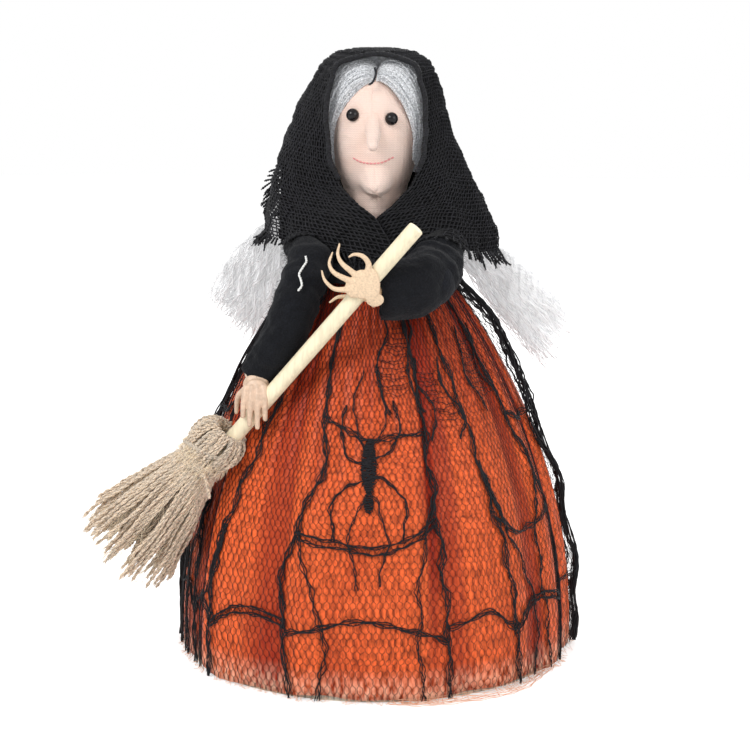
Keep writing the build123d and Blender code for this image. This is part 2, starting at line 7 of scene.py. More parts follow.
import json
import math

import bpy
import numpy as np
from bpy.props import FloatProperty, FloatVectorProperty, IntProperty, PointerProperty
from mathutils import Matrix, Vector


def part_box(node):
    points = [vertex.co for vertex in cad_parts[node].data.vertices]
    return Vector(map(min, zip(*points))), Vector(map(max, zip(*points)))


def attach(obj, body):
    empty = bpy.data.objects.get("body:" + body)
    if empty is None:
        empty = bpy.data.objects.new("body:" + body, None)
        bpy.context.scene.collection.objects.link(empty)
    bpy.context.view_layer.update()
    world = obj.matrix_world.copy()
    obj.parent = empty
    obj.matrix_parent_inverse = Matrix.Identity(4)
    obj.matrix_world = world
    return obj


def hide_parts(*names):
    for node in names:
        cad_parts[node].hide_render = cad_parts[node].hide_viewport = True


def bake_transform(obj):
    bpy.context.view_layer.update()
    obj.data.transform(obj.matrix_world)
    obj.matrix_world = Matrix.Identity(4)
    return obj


bl_info = {
    "name": "Witch Hand Puppet",
    "version": (1, 0, 0),
    "blender": (4, 5, 0),
    "location": "View3D > Sidebar > Puppet",
    "description": "Dresses the packed hand puppet in satin, lace, wool, felt, hair and jute",
    "category": "Object",
}

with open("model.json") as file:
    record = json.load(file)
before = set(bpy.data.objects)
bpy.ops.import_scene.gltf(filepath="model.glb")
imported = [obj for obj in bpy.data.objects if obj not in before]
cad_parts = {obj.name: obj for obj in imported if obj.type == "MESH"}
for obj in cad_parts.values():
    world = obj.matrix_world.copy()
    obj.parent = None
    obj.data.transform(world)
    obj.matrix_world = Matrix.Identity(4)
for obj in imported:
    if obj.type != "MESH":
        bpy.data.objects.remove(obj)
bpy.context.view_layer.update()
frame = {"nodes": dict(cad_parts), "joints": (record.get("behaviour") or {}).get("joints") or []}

MM = 0.001
FULL_TURN = 2 * math.pi


def box_mm(node):
    """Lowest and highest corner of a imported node, in millimetres."""
    low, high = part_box(node)
    return np.array(low) / MM, np.array(high) / MM


# ---------------------------------------------------------------- places taken from the frame
hem_radius, _, skirt_height = box_mm("lace_overskirt")[1]
waist_radius, _, waist_top = box_mm("waist_ring")[1]
bodice_radius, _, bodice_top = box_mm("bodice")[1]
head_half = np.array([16.5, 18.0, 27.0])
head_centre = np.array([0.0, 0.0, box_mm("head")[1][2] - head_half[2]])
neck_pivot = next(np.array(j["pos_m"]) / MM for j in frame["joints"] if j["name"] == "head_nod")
skirt_bulge = 12.8  # how far the skirt's outline swells past a straight cone
satin_under_net = 1.5  # room left under the outline for the satin's folds
net_gap = 0.45  # from the satin's face to the net's thread
plan_radius = 60.0  # turns are laid out flat at this radius where the web is drawn
rail_gap = 1.15  # from the middle of a stitched band to either rail
yarn_lift = 0.35  # from the scarf's backing to the middle of its yarns


# ---------------------------------------------------------------- shapes
class Shape:
    """Points in millimetres with the quads and triangles between them."""

    def __init__(self, points, quads=None, tris=None):
        self.points = np.asarray(points, float).reshape(-1, 3)
        self.quads = np.zeros((0, 4), int) if quads is None else np.asarray(quads, int)
        self.tris = np.zeros((0, 3), int) if tris is None else np.asarray(tris, int)

    @staticmethod
    def join(shapes):
        """One shape that holds several."""
        shift, points, quads, tris = 0, [], [], []
        for shape in shapes:
            points.append(shape.points)
            quads.append(shape.quads + shift)
            tris.append(shape.tris + shift)
            shift += len(shape.points)
        return Shape(np.concatenate(points), np.concatenate(quads), np.concatenate(tris))

    def where(self, test):
        """The faces whose middle passes the test, as a shape of their own."""
        quads = self.quads[test(self.points[self.quads].mean(1))] if len(self.quads) else self.quads
        tris = self.tris[test(self.points[self.tris].mean(1))] if len(self.tris) else self.tris
        used, flat = np.unique(np.concatenate([quads.ravel(), tris.ravel()]), return_inverse=True)
        return Shape(self.points[used], flat[: quads.size].reshape(-1, 4), flat[quads.size :].reshape(-1, 3))

    def piece(self, name, finish):
        """A Blender object of this shape, in metres."""
        mesh = bpy.data.meshes.new(name)
        mesh.vertices.add(len(self.points))
        mesh.vertices.foreach_set("co", (self.points * MM).astype(np.float32).ravel())
        corners = np.concatenate([self.quads.ravel(), self.tris.ravel()]).astype(np.int32)
        mesh.loops.add(len(corners))
        mesh.loops.foreach_set("vertex_index", corners)
        starts = np.concatenate(
            [np.arange(len(self.quads)) * 4, self.quads.size + np.arange(len(self.tris)) * 3]
        )
        mesh.polygons.add(len(starts))
        mesh.polygons.foreach_set("loop_start", starts.astype(np.int32))
        mesh.update(calc_edges=True)
        mesh.validate()
        mesh.shade_smooth()
        return show(mesh, name, finish)


def show(mesh, name, finish):
    """Links a mesh into the scene as an object with one material."""
    mesh.materials.clear()
    mesh.materials.append(finish)
    piece = bpy.data.objects.new(name, mesh)
    bpy.context.scene.collection.objects.link(piece)
    return piece


def dress(piece, body, node=None):
    """Sends a piece with a body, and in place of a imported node."""
    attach(piece, body)
    if node:
        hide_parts(node)


def thicken(piece, thickness):
    """Gives a sheet its thickness in millimetres, inwards."""
    solidify = piece.modifiers.new("cloth", "SOLIDIFY")
    solidify.thickness = thickness * MM
    solidify.offset = -1


def unit(vectors):
    """The same directions at length one."""
    return vectors / np.maximum(np.linalg.norm(vectors, axis=-1, keepdims=True), 1e-9)


def ripple(points, scale, seed, octaves=2):
    """Smooth noise of about -1 to 1 at the given wavelength, the same on each run."""
    random = np.random.default_rng(seed)
    total = np.zeros(points.shape[:-1])
    strength = 0.42
    for _ in range(octaves):
        waves = unit(random.normal(size=(6, points.shape[-1])))
        for wave, phase in zip(waves, random.uniform(0, FULL_TURN, 6)):
            total += strength * np.sin(points @ wave * (FULL_TURN / scale) + phase)
        scale *= 0.47
        strength *= 0.5
    return total


def smooth_path(points, count):
    """Evenly spaced points on a smooth curve through given ones; more columns go along with them."""
    points = np.asarray(points, float)
    before, after = 2 * points[0] - points[1], 2 * points[-1] - points[-2]
    knots = np.vstack([before, points, after])
    t = np.linspace(0, 1, 24, endpoint=False)[:, None]
    runs = []
    for a, b, c, d in zip(knots, knots[1:], knots[2:], knots[3:]):
        runs.append(
            0.5 * (2 * b + (c - a) * t + (2 * a - 5 * b + 4 * c - d) * t**2 + (3 * b - 3 * c + d - a) * t**3)
        )
    line = np.vstack(runs + [points[-1:]])
    steps = np.linalg.norm(np.diff(line[:, :3], axis=0), axis=1)
    along = np.concatenate([[0], np.cumsum(steps)])
    wanted = np.linspace(0, along[-1], count)
    return np.stack([np.interp(wanted, along, column) for column in line.T], axis=1)


def smooth_step(low, high, value):
    """0 below low, 1 above high, and a soft rise between."""
    t = np.clip((value - low) / (high - low), 0, 1)
    return t * t * (3 - 2 * t)


def grid_quads(rows, columns, closed=False):
    """Quads of a grid of points, row after row."""
    across = columns if closed else columns - 1
    i, j = np.meshgrid(np.arange(rows - 1), np.arange(across), indexing="ij")
    j_next = (j + 1) % columns
    return np.stack(
        [i * columns + j, i * columns + j_next, (i + 1) * columns + j_next, (i + 1) * columns + j], axis=-1
    ).reshape(-1, 4)


def round_turn(count):
    """Turns in radians, evenly spaced once round."""
    return np.arange(count) * FULL_TURN / count


def path_frames(paths):
    """Unit tangents and two crossways directions along each path, without twist."""
    tangents = unit(np.gradient(paths, axis=1))
    sideways = np.empty_like(tangents)
    steep = np.abs(tangents[:, :1, 2:]) > 0.9
    guide = np.where(steep, np.array([1.0, 0, 0]), np.array([0, 0, 1.0]))[:, 0]
    now = unit(np.cross(guide, tangents[:, 0]))
    for i in range(paths.shape[1]):
        now = unit(now - tangents[:, i] * (now * tangents[:, i]).sum(-1, keepdims=True))
        sideways[:, i] = now
    return tangents, sideways, np.cross(tangents, sideways)


def tubes(paths, radii, sides=4, caps=True):
    """Many round threads: paths is (threads, points, 3), radii a number or one for each point."""
    paths = np.asarray(paths, float)
    count, length = paths.shape[:2]
    radii = np.broadcast_to(np.asarray(radii, float), (count, length))
    _, sideways, upward = path_frames(paths)
    turn = round_turn(sides)[:, None]
    ring = np.cos(turn) * sideways[:, :, None, :] + np.sin(turn) * upward[:, :, None, :]
    points = paths[:, :, None, :] + radii[:, :, None, None] * ring
    first = (np.arange(count) * length * sides)[:, None, None]
    quads = (grid_quads(length, sides, closed=True)[None] + first).reshape(-1, 4)
    tris = None
    if caps:
        first_cap = np.array([[0, k + 1, k] for k in range(1, sides - 1)])
        last_cap = first_cap[:, ::-1] + (length - 1) * sides
        tris = (np.concatenate([first_cap, last_cap])[None] + first).reshape(-1, 3)
    return Shape(points, quads, tris)


def plied(paths, ply_radius, lay, sides=5, plies=2, taper=True):
    """Twisted twine: each path becomes plies wound about it, one turn for each lay length."""
    paths = np.asarray(paths, float)
    _, sideways, upward = path_frames(paths)
    steps = np.linalg.norm(np.diff(paths, axis=1), axis=2)
    along = np.concatenate([np.zeros((len(paths), 1)), np.cumsum(steps, axis=1)], axis=1)
    start = np.arange(len(paths))[:, None] * 2.4
    strands = []
    for ply in range(plies):
        turn = ((along / lay + ply / plies) * FULL_TURN + start)[..., None]
        strands.append(paths + ply_radius * 0.95 * (np.cos(turn) * sideways + np.sin(turn) * upward))
    strands = np.concatenate(strands)
    radii = np.full(strands.shape[:2], ply_radius)
    if taper:
        radii[:, -1] *= 0.35
    return tubes(strands, radii, sides)


def ball(centre, half, rings=24, segments=40):
    """A closed egg of the given half sizes."""
    low = np.linspace(0, math.pi, rings + 1)[1:-1]
    turn = round_turn(segments)
    around = np.stack([np.cos(turn), np.sin(turn), np.ones(segments)], axis=-1)
    slope = np.stack([np.sin(low), np.sin(low), np.cos(low)], axis=-1)
    side = (slope[:, None] * around).reshape(-1, 3)
    points = np.vstack([side, [[0, 0, 1], [0, 0, -1]]]) * half + centre
    rows = rings - 1
    tris = np.vstack(
        [fan(len(side), 0, segments), fan(len(side) + 1, (rows - 1) * segments, segments)[:, [0, 2, 1]]]
    )
    return Shape(points, grid_quads(rows, segments, closed=True)[:, ::-1], tris)


def fan(centre, first, sides):
    """Triangles from a centre point to a closed ring that starts at the first point."""
    k = np.arange(sides)
    return np.stack([np.full(sides, centre), first + k, first + (k + 1) % sides], 1)


def chain(points, spacing=0.6):
    """Balls set close together along a line, to be fused: points are (x, y, z, radius)."""
    points = np.asarray(points, float)
    length = np.linalg.norm(np.diff(points[:, :3], axis=0), axis=1).sum()
    line = smooth_path(points, max(4, int(length / spacing)))
    return Shape.join([ball(p[:3], p[3], 8, 12) for p in line])


def fused(name, shape, voxel, smoothing, finish):
    """One skin over overlapping closed shapes, softened where they meet."""
    rough = shape.piece(name + "_rough", finish)
    remesh = rough.modifiers.new("skin", "REMESH")
    remesh.mode = "VOXEL"
    remesh.voxel_size = voxel * MM
    soften = rough.modifiers.new("soften", "SMOOTH")
    soften.factor = 0.5
    soften.iterations = smoothing
    bpy.context.view_layer.update()
    mesh = bpy.data.meshes.new_from_object(rough.evaluated_get(bpy.context.evaluated_depsgraph_get()))
    bpy.data.objects.remove(rough)
    mesh.name = name
    mesh.shade_smooth()
    return show(mesh, name, finish)


def read_points(piece, what):
    """One vector for each of a mesh's points: co is its place in metres, normal its direction."""
    values = np.zeros(len(piece.data.vertices) * 3, np.float32)
    piece.data.vertices.foreach_get(what, values)
    return values.reshape(-1, 3).astype(float)


def set_points(piece, points):
    """Writes a mesh's points back, from millimetres."""
    piece.data.vertices.foreach_set("co", (points * MM).astype(np.float32).ravel())
    piece.data.update()


def push_clear(points, runs, gap):
    """Moves points out of tapered limbs: runs are (start, end, start radius, end radius)."""
    points = points.copy()
    for start, end, first, last in runs:
        line = end - start
        t = np.clip(((points - start) @ line) / (line @ line), 0, 1)
        foot = start + t[..., None] * line
        away = points - foot
        distance = np.linalg.norm(away, axis=-1)
        wanted = first + (last - first) * t + gap
        lift = np.maximum(wanted - distance, 0)
        points += unit(away) * lift[..., None]
    return points


# ---------------------------------------------------------------- finishes
class Finish:
    """A procedural material, built up in the object's own coordinates."""

    def __init__(self, name, **sockets):
        self.material = bpy.data.materials.new(name)
        self.material.use_nodes = True
        self.nodes = self.material.node_tree.nodes
        self.links = self.material.node_tree.links
        self.shader = self.nodes["Principled BSDF"]
        for socket, value in sockets.items():
            self.shader.inputs[socket.replace("_", " ")].default_value = value
        self.place = self.add("ShaderNodeTexCoord").outputs["Object"]
        parts = self.add("ShaderNodeSeparateXYZ", {"Vector": self.place}).outputs
        self.x, self.y, self.z = parts[0], parts[1], parts[2]

    def add(self, kind, inputs=None, **settings):
        """Adds a node, setting or linking its inputs."""
        node = self.nodes.new(kind)
        for key, value in settings.items():
            setattr(node, key, value)
        for socket, value in (inputs or {}).items():
            if isinstance(value, bpy.types.NodeSocket):
                self.links.new(value, node.inputs[socket])
            else:
                node.inputs[socket].default_value = value
        return node

    def noise(self, size_mm, detail=3.0, stretch=(1, 1, 1)):
        """Noise whose grains are about this big, drawn out along an axis where stretch is under one."""
        mapping = self.add("ShaderNodeMapping", {"Vector": self.place, "Scale": stretch})
        inputs = {"Vector": mapping.outputs[0], "Scale": 1 / (size_mm * MM), "Detail": detail}
        return self.add("ShaderNodeTexNoise", inputs).outputs["Fac"]

    def maths(self, operation, a, b=0.0, c=0.0):
        """One step of arithmetic."""
        return self.add("ShaderNodeMath", {0: a, 1: b, 2: c}, operation=operation).outputs[0]

    def mix(self, factor, dark, light):
        """A colour between two, by a factor."""
        node = self.add("ShaderNodeMix", data_type="RGBA")
        for index, value in ((0, factor), (6, dark), (7, light)):
            if isinstance(value, bpy.types.NodeSocket):
                self.links.new(value, node.inputs[index])
            else:
                node.inputs[index].default_value = value
        return node.outputs[2]

    def span(self, value, low, high, to_low=0.0, to_high=1.0):
        """A value stretched from one range to another, and held there."""
        inputs = {"Value": value, "From Min": low, "From Max": high, "To Min": to_low, "To Max": to_high}
        return self.add("ShaderNodeMapRange", inputs).outputs[0]

    def colour(self, socket):
        """Sets what gives the base colour."""
        self.links.new(socket, self.shader.inputs["Base Color"])

    def bump(self, height, strength, depth_mm):
        """Relief in the shading, on top of what is there already."""
        inputs = {"Height": height, "Strength": strength, "Distance": depth_mm * MM}
        before = self.shader.inputs["Normal"].links
        if before:
            inputs["Normal"] = before[0].from_socket
        self.links.new(self.add("ShaderNodeBump", inputs).outputs[0], self.shader.inputs["Normal"])


def rgb(colour, scale=1.0):
    """A colour for a socket, lighter or darker by a scale."""
    return (*[min(c * scale, 1.0) for c in colour[:3]], 1.0)


def shaded(colour, scale):
    """A colour's red, green and blue, darker or lighter by a scale."""
    return [c * scale for c in colour]


def thread_finish(name, colour, roughness=0.8):
    """Plain dyed thread."""
    return Finish(name, Base_Color=rgb(colour), Roughness=roughness, Specular_IOR_Level=0.3).material


def satin_finish(colour, painted_shade):
    """Burnt orange satin: crinkles painted lighter and darker as their light and shade, painted shade in its
    folds, in broad patches and high up, and a painted pale sheen at the hem.
    """
    # Peach of the painted pale sheen along the hem.
    peach = (0.95, 0.62, 0.44, 1.0)
    finish = Finish("orange_satin", Roughness=0.5, Specular_IOR_Level=0.14)
    bearing = finish.maths("ARCTAN2", finish.y, finish.x)
    crossways = finish.maths("MULTIPLY", bearing, hem_radius * MM * 0.8)
    flat = finish.add("ShaderNodeCombineXYZ", {0: crossways, 1: 0.0, 2: finish.z})
    finish.place = flat.outputs[0]
    upright = finish.noise(1.3, detail=3.0, stretch=(1, 1, 0.3))
    level = finish.noise(1.5, detail=3.0, stretch=(0.35, 1, 1))
    higher = finish.span(finish.z, 0.03, 0.1, 0.15, 0.75)
    crinkle = finish.maths("MULTIPLY_ADD", finish.maths("SUBTRACT", level, upright), higher, upright)
    painted_shade_patches = finish.noise(13, detail=2.0, stretch=(1, 1, 0.28))
    # Painted highlight and shade: the crinkles' relief made lighter and darker in the colour.
    body = finish.mix(finish.span(crinkle, 0.33, 0.60), rgb(colour, 0.42), rgb(colour, 1.32))
    # Painted shade in broad patches, as in deep folds.
    body = finish.mix(finish.span(painted_shade_patches, 0.55, 0.78, 0.0, 0.5), body, rgb(painted_shade))
    valleys = finish.add("ShaderNodeAttribute", attribute_name="fold_shade").outputs["Fac"]
    # Painted shade in the fold valleys, from the skirt's fold_shade.
    body = finish.mix(finish.span(valleys, 0.15, 0.85, 0.0, 0.85), body, rgb(painted_shade))
    # Painted shade high on the skirt, under the gathers and the lace.
    body = finish.mix(finish.span(finish.z, 0.08, 0.14, 0.0, 0.6), body, rgb(painted_shade))
    # Painted pale sheen at the hem, on the crinkles' lighter parts.
    pale = finish.maths("MULTIPLY", finish.span(finish.z, 0.013, 0.002), finish.span(crinkle, 0.38, 0.6))
    finish.colour(finish.mix(finish.maths("MULTIPLY", pale, 0.75), body, peach))
    finish.links.new(finish.span(crinkle, 0.3, 0.7, 0.5, 0.3), finish.shader.inputs["Roughness"])
    finish.bump(crinkle, strength=0.9, depth_mm=0.5)
    return finish.material


def knit_finish(name, colour, wale_mm=1.0, course_mm=0.85):
    """Fine jersey: columns of small V stitches, painted darker in their grooves as shade, with a soft uneven
    blush.
    """
    finish = Finish(name, Roughness=0.85, Sheen_Weight=0.2, Subsurface_Weight=0.04)
    finish.shader.inputs["Subsurface Radius"].default_value = (0.004, 0.002, 0.0012)
    finish.shader.inputs["Subsurface Scale"].default_value = 0.4
    wale = finish.maths("MULTIPLY", finish.x, 1 / (wale_mm * MM))
    slant = finish.maths("PINGPONG", wale, 0.5)
    course = finish.maths("MULTIPLY", finish.z, 1 / (course_mm * MM))
    phase = finish.maths("MULTIPLY", finish.maths("ADD", course, slant), FULL_TURN)
    stitch = finish.maths("SINE", phase)
    rib = finish.maths("COSINE", finish.maths("MULTIPLY", wale, 2 * FULL_TURN))
    relief = finish.maths("MULTIPLY_ADD", stitch, 0.55, finish.maths("MULTIPLY", rib, 0.45))
    blush, rose = finish.noise(11.0, detail=2.0), (0.86, 0.55, 0.43, 1.0)
    # Painted shade: the stitches' relief made darker in its grooves.
    body = finish.mix(finish.span(relief, -1, 1, 0.0, 1.0), rgb(colour, 0.80), rgb(colour, 1.05))
    finish.colour(finish.mix(finish.span(blush, 0.4, 0.75, 0.0, 0.3), body, rose))
    finish.bump(relief, strength=0.5, depth_mm=0.16)
    finish.bump(finish.noise(0.35, detail=2.0), strength=0.3, depth_mm=0.1)
    return finish.material


def felt_finish(name, colour, fleck=1.9):
    """Pressed wool felt: matted fibres and a faint bloom."""
    finish = Finish(name, Roughness=0.95, Sheen_Weight=0.05, Sheen_Roughness=0.6, Specular_IOR_Level=0.15)
    fibres = finish.noise(0.7, detail=5.0)
    clouds = finish.noise(7.0, detail=3.0)
    body = finish.mix(finish.span(fibres, 0.35, 0.7), rgb(colour, 0.6), rgb(colour, fleck))
    finish.colour(finish.mix(finish.span(clouds, 0.35, 0.7, 0.0, 0.5), body, rgb(colour, 0.75)))
    finish.bump(fibres, strength=0.8, depth_mm=0.4)
    finish.bump(clouds, strength=0.5, depth_mm=0.8)
    return finish.material


def yarn_finish(name, colour, dark, size_mm=1.2, sheen=0.3, glow=0.0, along=(1, 1, 1)):
    """Hairy yarn whose strands differ a little in tone, and which glows in its own colour as painted light
    where glow is above zero.
    """
    finish = Finish(name, Roughness=0.75, Sheen_Weight=sheen, Subsurface_Weight=0.7, Subsurface_Scale=0.001)
    finish.shader.inputs["Subsurface Radius"].default_value = (1.0, 1.0, 1.0)
    # Painted light: a glow in the yarn's own colour.
    finish.shader.inputs["Emission Color"].default_value = rgb(colour)
    finish.shader.inputs["Emission Strength"].default_value = glow
    tone = finish.noise(size_mm, detail=3.0, stretch=along)
    finish.colour(finish.mix(finish.span(tone, 0.32, 0.62), rgb(dark), rgb(colour)))
    return finish.material


def wood_finish(name, colour, along=(1, 1, 1), gloss=0.45):
    """Pale planed wood, with grain drawn out along one direction and worn darker spots."""
    finish = Finish(name, Roughness=gloss)
    grain = finish.noise(1.1, detail=4.0, stretch=along)
    spots = finish.noise(9.0, detail=2.0)
    body = finish.mix(finish.span(grain, 0.3, 0.72), rgb(colour, 0.82), rgb(colour, 1.05))
    finish.colour(finish.mix(finish.span(spots, 0.5, 0.78, 0.0, 0.35), body, rgb(colour, 0.66)))
    finish.bump(grain, strength=0.35, depth_mm=0.25)
    return finish.material


def plain_finish(name, colour, roughness=0.7, metallic=0.0, grain_mm=1.0):
    """Card, wire, wadding and other hidden stuff, with its own small grain."""
    finish = Finish(name, Roughness=roughness, Metallic=metallic)
    grain = finish.noise(grain_mm, detail=4.0)
    finish.colour(finish.mix(finish.span(grain, 0.3, 0.7), rgb(colour, 0.8), rgb(colour, 1.1)))
    finish.bump(grain, strength=0.4, depth_mm=0.2)
    return finish.material


# ---------------------------------------------------------------- sizes and colours that can be changed
def length_property(name, description, default_mm, low_mm, high_mm):
    """A length that can be changed, given in millimetres."""
    return FloatProperty(
        name=name, description=description, default=default_mm * MM, min=low_mm * MM, max=high_mm * MM,
        unit="LENGTH",
    )


def count_property(name, description, default, low, high):
    """A count that can be changed."""
    return IntProperty(name=name, description=description, default=default, min=low, max=high)


def colour_property(name, description, default):
    """A colour that can be changed, as linear values."""
    return FloatVectorProperty(name=name, description=description, subtype="COLOR", default=default)


class PuppetSizes(bpy.types.PropertyGroup):
    """Sizes and counts of the cloth, thread and hair."""

    fold_depth: length_property("Fold depth", "How far the satin's folds stand out at the hem", 3.0, 0.0, 5.0)
    net_columns: count_property("Net columns", "Net cells round the skirt", 190, 60, 240)
    net_rows: count_property("Net rows", "Net cells from waist to hem", 66, 20, 80)
    net_thread: length_property("Net thread", "Radius of the net's thread", 0.098, 0.05, 0.5)
    web_thread: length_property("Web thread", "Radius of one strand of the web pattern", 0.22, 0.1, 0.8)
    scarf_pitch: length_property("Scarf pitch", "Distance between the scarf's yarns", 1.38, 0.9, 4.0)
    scarf_yarn: length_property("Scarf yarn", "Radius of the scarf's yarn", 0.32, 0.15, 1.0)
    front_strands: count_property("Front strands", "Strands on each side of the parting", 130, 20, 400)
    tress_strands: count_property("Tress strands", "Strands in each long lock of hair", 800, 100, 1500)
    felt_hairs: count_property("Felt hairs", "Loose fibres on each sleeve", 1700, 0, 4000)
    jute_strands: count_property("Jute strands", "Outer strands in the brush", 74, 12, 90)


class PuppetColours(bpy.types.PropertyGroup):
    """Colours of the finishes, as linear values."""

    satin: colour_property("Satin", "Skirt satin", (0.78, 0.122, 0.032))
    # Painted shade of the satin, in its folds, in broad patches and high up.
    satin_painted_shade: colour_property("Satin shade", "Satin in its folds", (0.30, 0.016, 0.006))
    lace: colour_property("Lace", "Net and web threads", (0.006, 0.005, 0.007))
    scarf: colour_property("Scarf", "Scarf yarn", (0.006, 0.006, 0.008))
    felt: colour_property("Felt", "Sleeve felt", (0.0045, 0.005, 0.007))
    skin: colour_property("Skin", "Pink jersey of the head", (0.90, 0.70, 0.61))
    hair: colour_property("Hair", "Grey yarn of the hair in front", (0.93, 0.95, 0.99))
    mohair: colour_property("Mohair", "White locks", (0.95, 0.95, 0.96))
    stick: colour_property("Stick", "Broomstick wood", (0.93, 0.82, 0.58))
    jute: colour_property("Jute", "Brush twine", (0.80, 0.63, 0.47))
    hand: colour_property("Hand", "Stiffened felt of the hands", (0.76, 0.57, 0.39))


def sizes():
    """The scene's sizes and counts."""
    return bpy.context.scene.puppet_sizes


def colours():
    """The scene's colours."""
    return bpy.context.scene.puppet_colours


# ---------------------------------------------------------------- skirt: satin and lace
def skirt_radius(z):
    """Outside radius of the net at height z: an arc from hem to waist."""
    run, rise = hem_radius - waist_radius, skirt_height
    chord = math.hypot(run, rise)
    arc_radius = (chord**2 / 4 + skirt_bulge**2) / (2 * skirt_bulge)
    back = arc_radius - skirt_bulge
    centre_r = (hem_radius + waist_radius) / 2 - back * rise / chord
    centre_z = rise / 2 - back * run / chord
    return centre_r + np.sqrt(arc_radius**2 - (z - centre_z) ** 2)


def pleats(turn):
    """The waist's fine gathers, from 0 in their valleys to 1 on their crests."""
    return np.abs(np.sin(34 * turn + 2.5 * np.sin(5 * turn)))


def satin_radius(turn, z):
    """Radius of the satin's outer face: soft folds below, fine gathers at the waist."""
    low = np.clip(1 - z / skirt_height, 0, 1)
    gathers = 1.0 * (1 - low) ** 1.4 * pleats(turn)
    small = 0.16 * np.sin(88 * turn + 6 * low + 1.5 * np.sin(9 * turn))
    return skirt_radius(z) - satin_under_net + satin_folds(turn, low) + gathers + small * (0.4 + 0.6 * low)


def satin_folds(turn, low):
    """How far the folds stand out: broad swells, cut by narrow valleys that come and go."""
    sway = 0.35 * np.sin(2 * turn + 0.5) + 0.22 * low * np.sin(5 * turn + 3 * low)
    waves = np.sin(13 * turn + sway * 3) + 0.7 * np.sin(8 * turn + 1.3 + low) + 0.45 * np.sin(21 * turn + 2.0)
    middle = 1 + 0.5 * np.sin(math.pi * np.clip(low * 1.15 - 0.1, 0, 1))
    swell = np.clip(0.62 + 0.26 * waves, 0.25, 1) ** 1.2
    across = np.sin(6.5 * turn + 0.9 + 0.35 * np.sin(3 * turn) + 0.4 * low)
    valley = np.exp(-((across / (0.14 + 0.16 * low)) ** 2))
    strong = np.clip(0.55 + 0.6 * np.sin(5 * turn + 0.4 + 2.2 * low), 0, 1)
    strong = strong * (0.55 + 0.45 * np.sin(math.pi * low**0.7))
    height = sizes().fold_depth / MM * (0.35 + 0.65 * low**0.8) * middle
    return height * swell * (1 - 0.95 * valley * strong)


def round_skirt(radius, turn, z):
    """Points at a radius, turn and height about the skirt's axis."""
    return np.stack([radius * np.cos(turn), radius * np.sin(turn), z], axis=-1)


def near_turn(turn, width):
    """A soft bump of 1 where a turn in radians is zero, this wide."""
    return np.exp(-((np.angle(np.exp(1j * turn)) / width) ** 2))


def net_radius(turn, z):
    """Radius of the net: close over the satin, standing off it down both side seams."""
    right = near_turn(turn - 0.02, width=0.085)
    left = near_turn(turn - math.pi - 0.06, width=0.075)
    tent = 4.2 * right * np.exp(-(((z - 122) / 24) ** 2)) + 2.4 * left * np.exp(-(((z - 70) / 45) ** 2))
    tent = tent + 1.1 * right * (1 + np.sin(z / 5.2 + 0.8)) * np.clip(z / 20, 0, 1)
    return satin_radius(turn, z) + net_gap + tent


def net_shape():
    """Every net thread: pairs of zigzags that share the upright side of each cell."""
    columns, rows = sizes().net_columns, sizes().net_rows
    fall = np.linspace(0, 1, rows + 1)
    edges = skirt_height * (1 - (0.8 * fall + 0.2 * fall**2))
    pitch = skirt_height / rows
    levels, steps = [], []
    for row in range(rows):
        half_step = 0.5 * (row % 2)
        levels += [edges[row], edges[row] + 0.56 * (edges[row + 1] - edges[row])]
        steps += [half_step, half_step]
    z = np.array(levels)[None, :]
    step = np.array(steps)[None, :]
    column = np.arange(columns)[:, None]
    threads = []
    for way in (1, -1):
        place = (column + way * step) / columns * FULL_TURN
        spot = np.stack([np.cos(place) * 40, np.sin(place) * 40, np.broadcast_to(z, place.shape)], -1)
        jitter = 0.3 * ripple(spot, scale=22, seed=5) + 0.07 * ripple(spot, scale=4, seed=6, octaves=1)
        jitter = FULL_TURN / columns * jitter
        drift = 0.3 * pitch * ripple(spot, scale=26, seed=7) * np.clip(z / 8, 0, 1)
        apart = way * 0.10 * FULL_TURN / columns
        turn = place + jitter + apart
        height = np.clip(np.broadcast_to(z, place.shape) + drift, 0.4, skirt_height - 0.2)
        threads.append(round_skirt(net_radius(turn, height) + 0.08 * way, turn, height))
    return tubes(np.concatenate(threads), radii=sizes().net_thread / MM, sides=3, caps=False)


def web_paths(points, strands, apart, seed, count=None, lift=0.35, step=1.3, wander=0.9):
    """Strands wandering side by side along a line given as (turn in degrees, height)."""
    points = np.asarray(points, float)
    flat = np.column_stack([np.radians(points[:, 0]) * plan_radius, points[:, 1], np.zeros(len(points))])
    length = np.linalg.norm(np.diff(flat, axis=0), axis=1).sum()
    line = smooth_path(flat, count or max(8, int(length / step)))
    along = np.linspace(0, length, len(line))
    side = unit(np.gradient(line, axis=0))[:, [1, 0]] * np.array([1, -1])
    random = np.random.default_rng(seed)
    paths = []
    bend, long_wave = random.uniform(0, FULL_TURN), random.uniform(17, 29)
    shared = wander * np.sin(along / long_wave * FULL_TURN + bend) * np.sin(math.pi * along / length)
    spread = apart * (1 + 0.75 * np.sin(along / random.uniform(9, 15) * FULL_TURN + bend))
    for strand in range(strands):
        phase, wave = random.uniform(0, FULL_TURN), random.uniform(3.5, 8.0)
        own = 0.3 * np.sin(along / wave * FULL_TURN + phase)
        offset = shared + (strand - (strands - 1) / 2) * spread + own
        place = line[:, :2] + side * offset[:, None]
        turn, z = place[:, 0] / plan_radius, np.clip(place[:, 1], 0.35, skirt_height)
        rise = lift + 0.14 * strand % 0.5 + 0.12 * np.sin(along / 2.9 + phase)
        paths.append(round_skirt(net_radius(turn, z) + rise, turn, z))
    return paths


def each_tube(paths, radius, sides=4):
    """One tube for each path, whatever their lengths."""
    return [tubes([path], radius, sides) for path in paths]


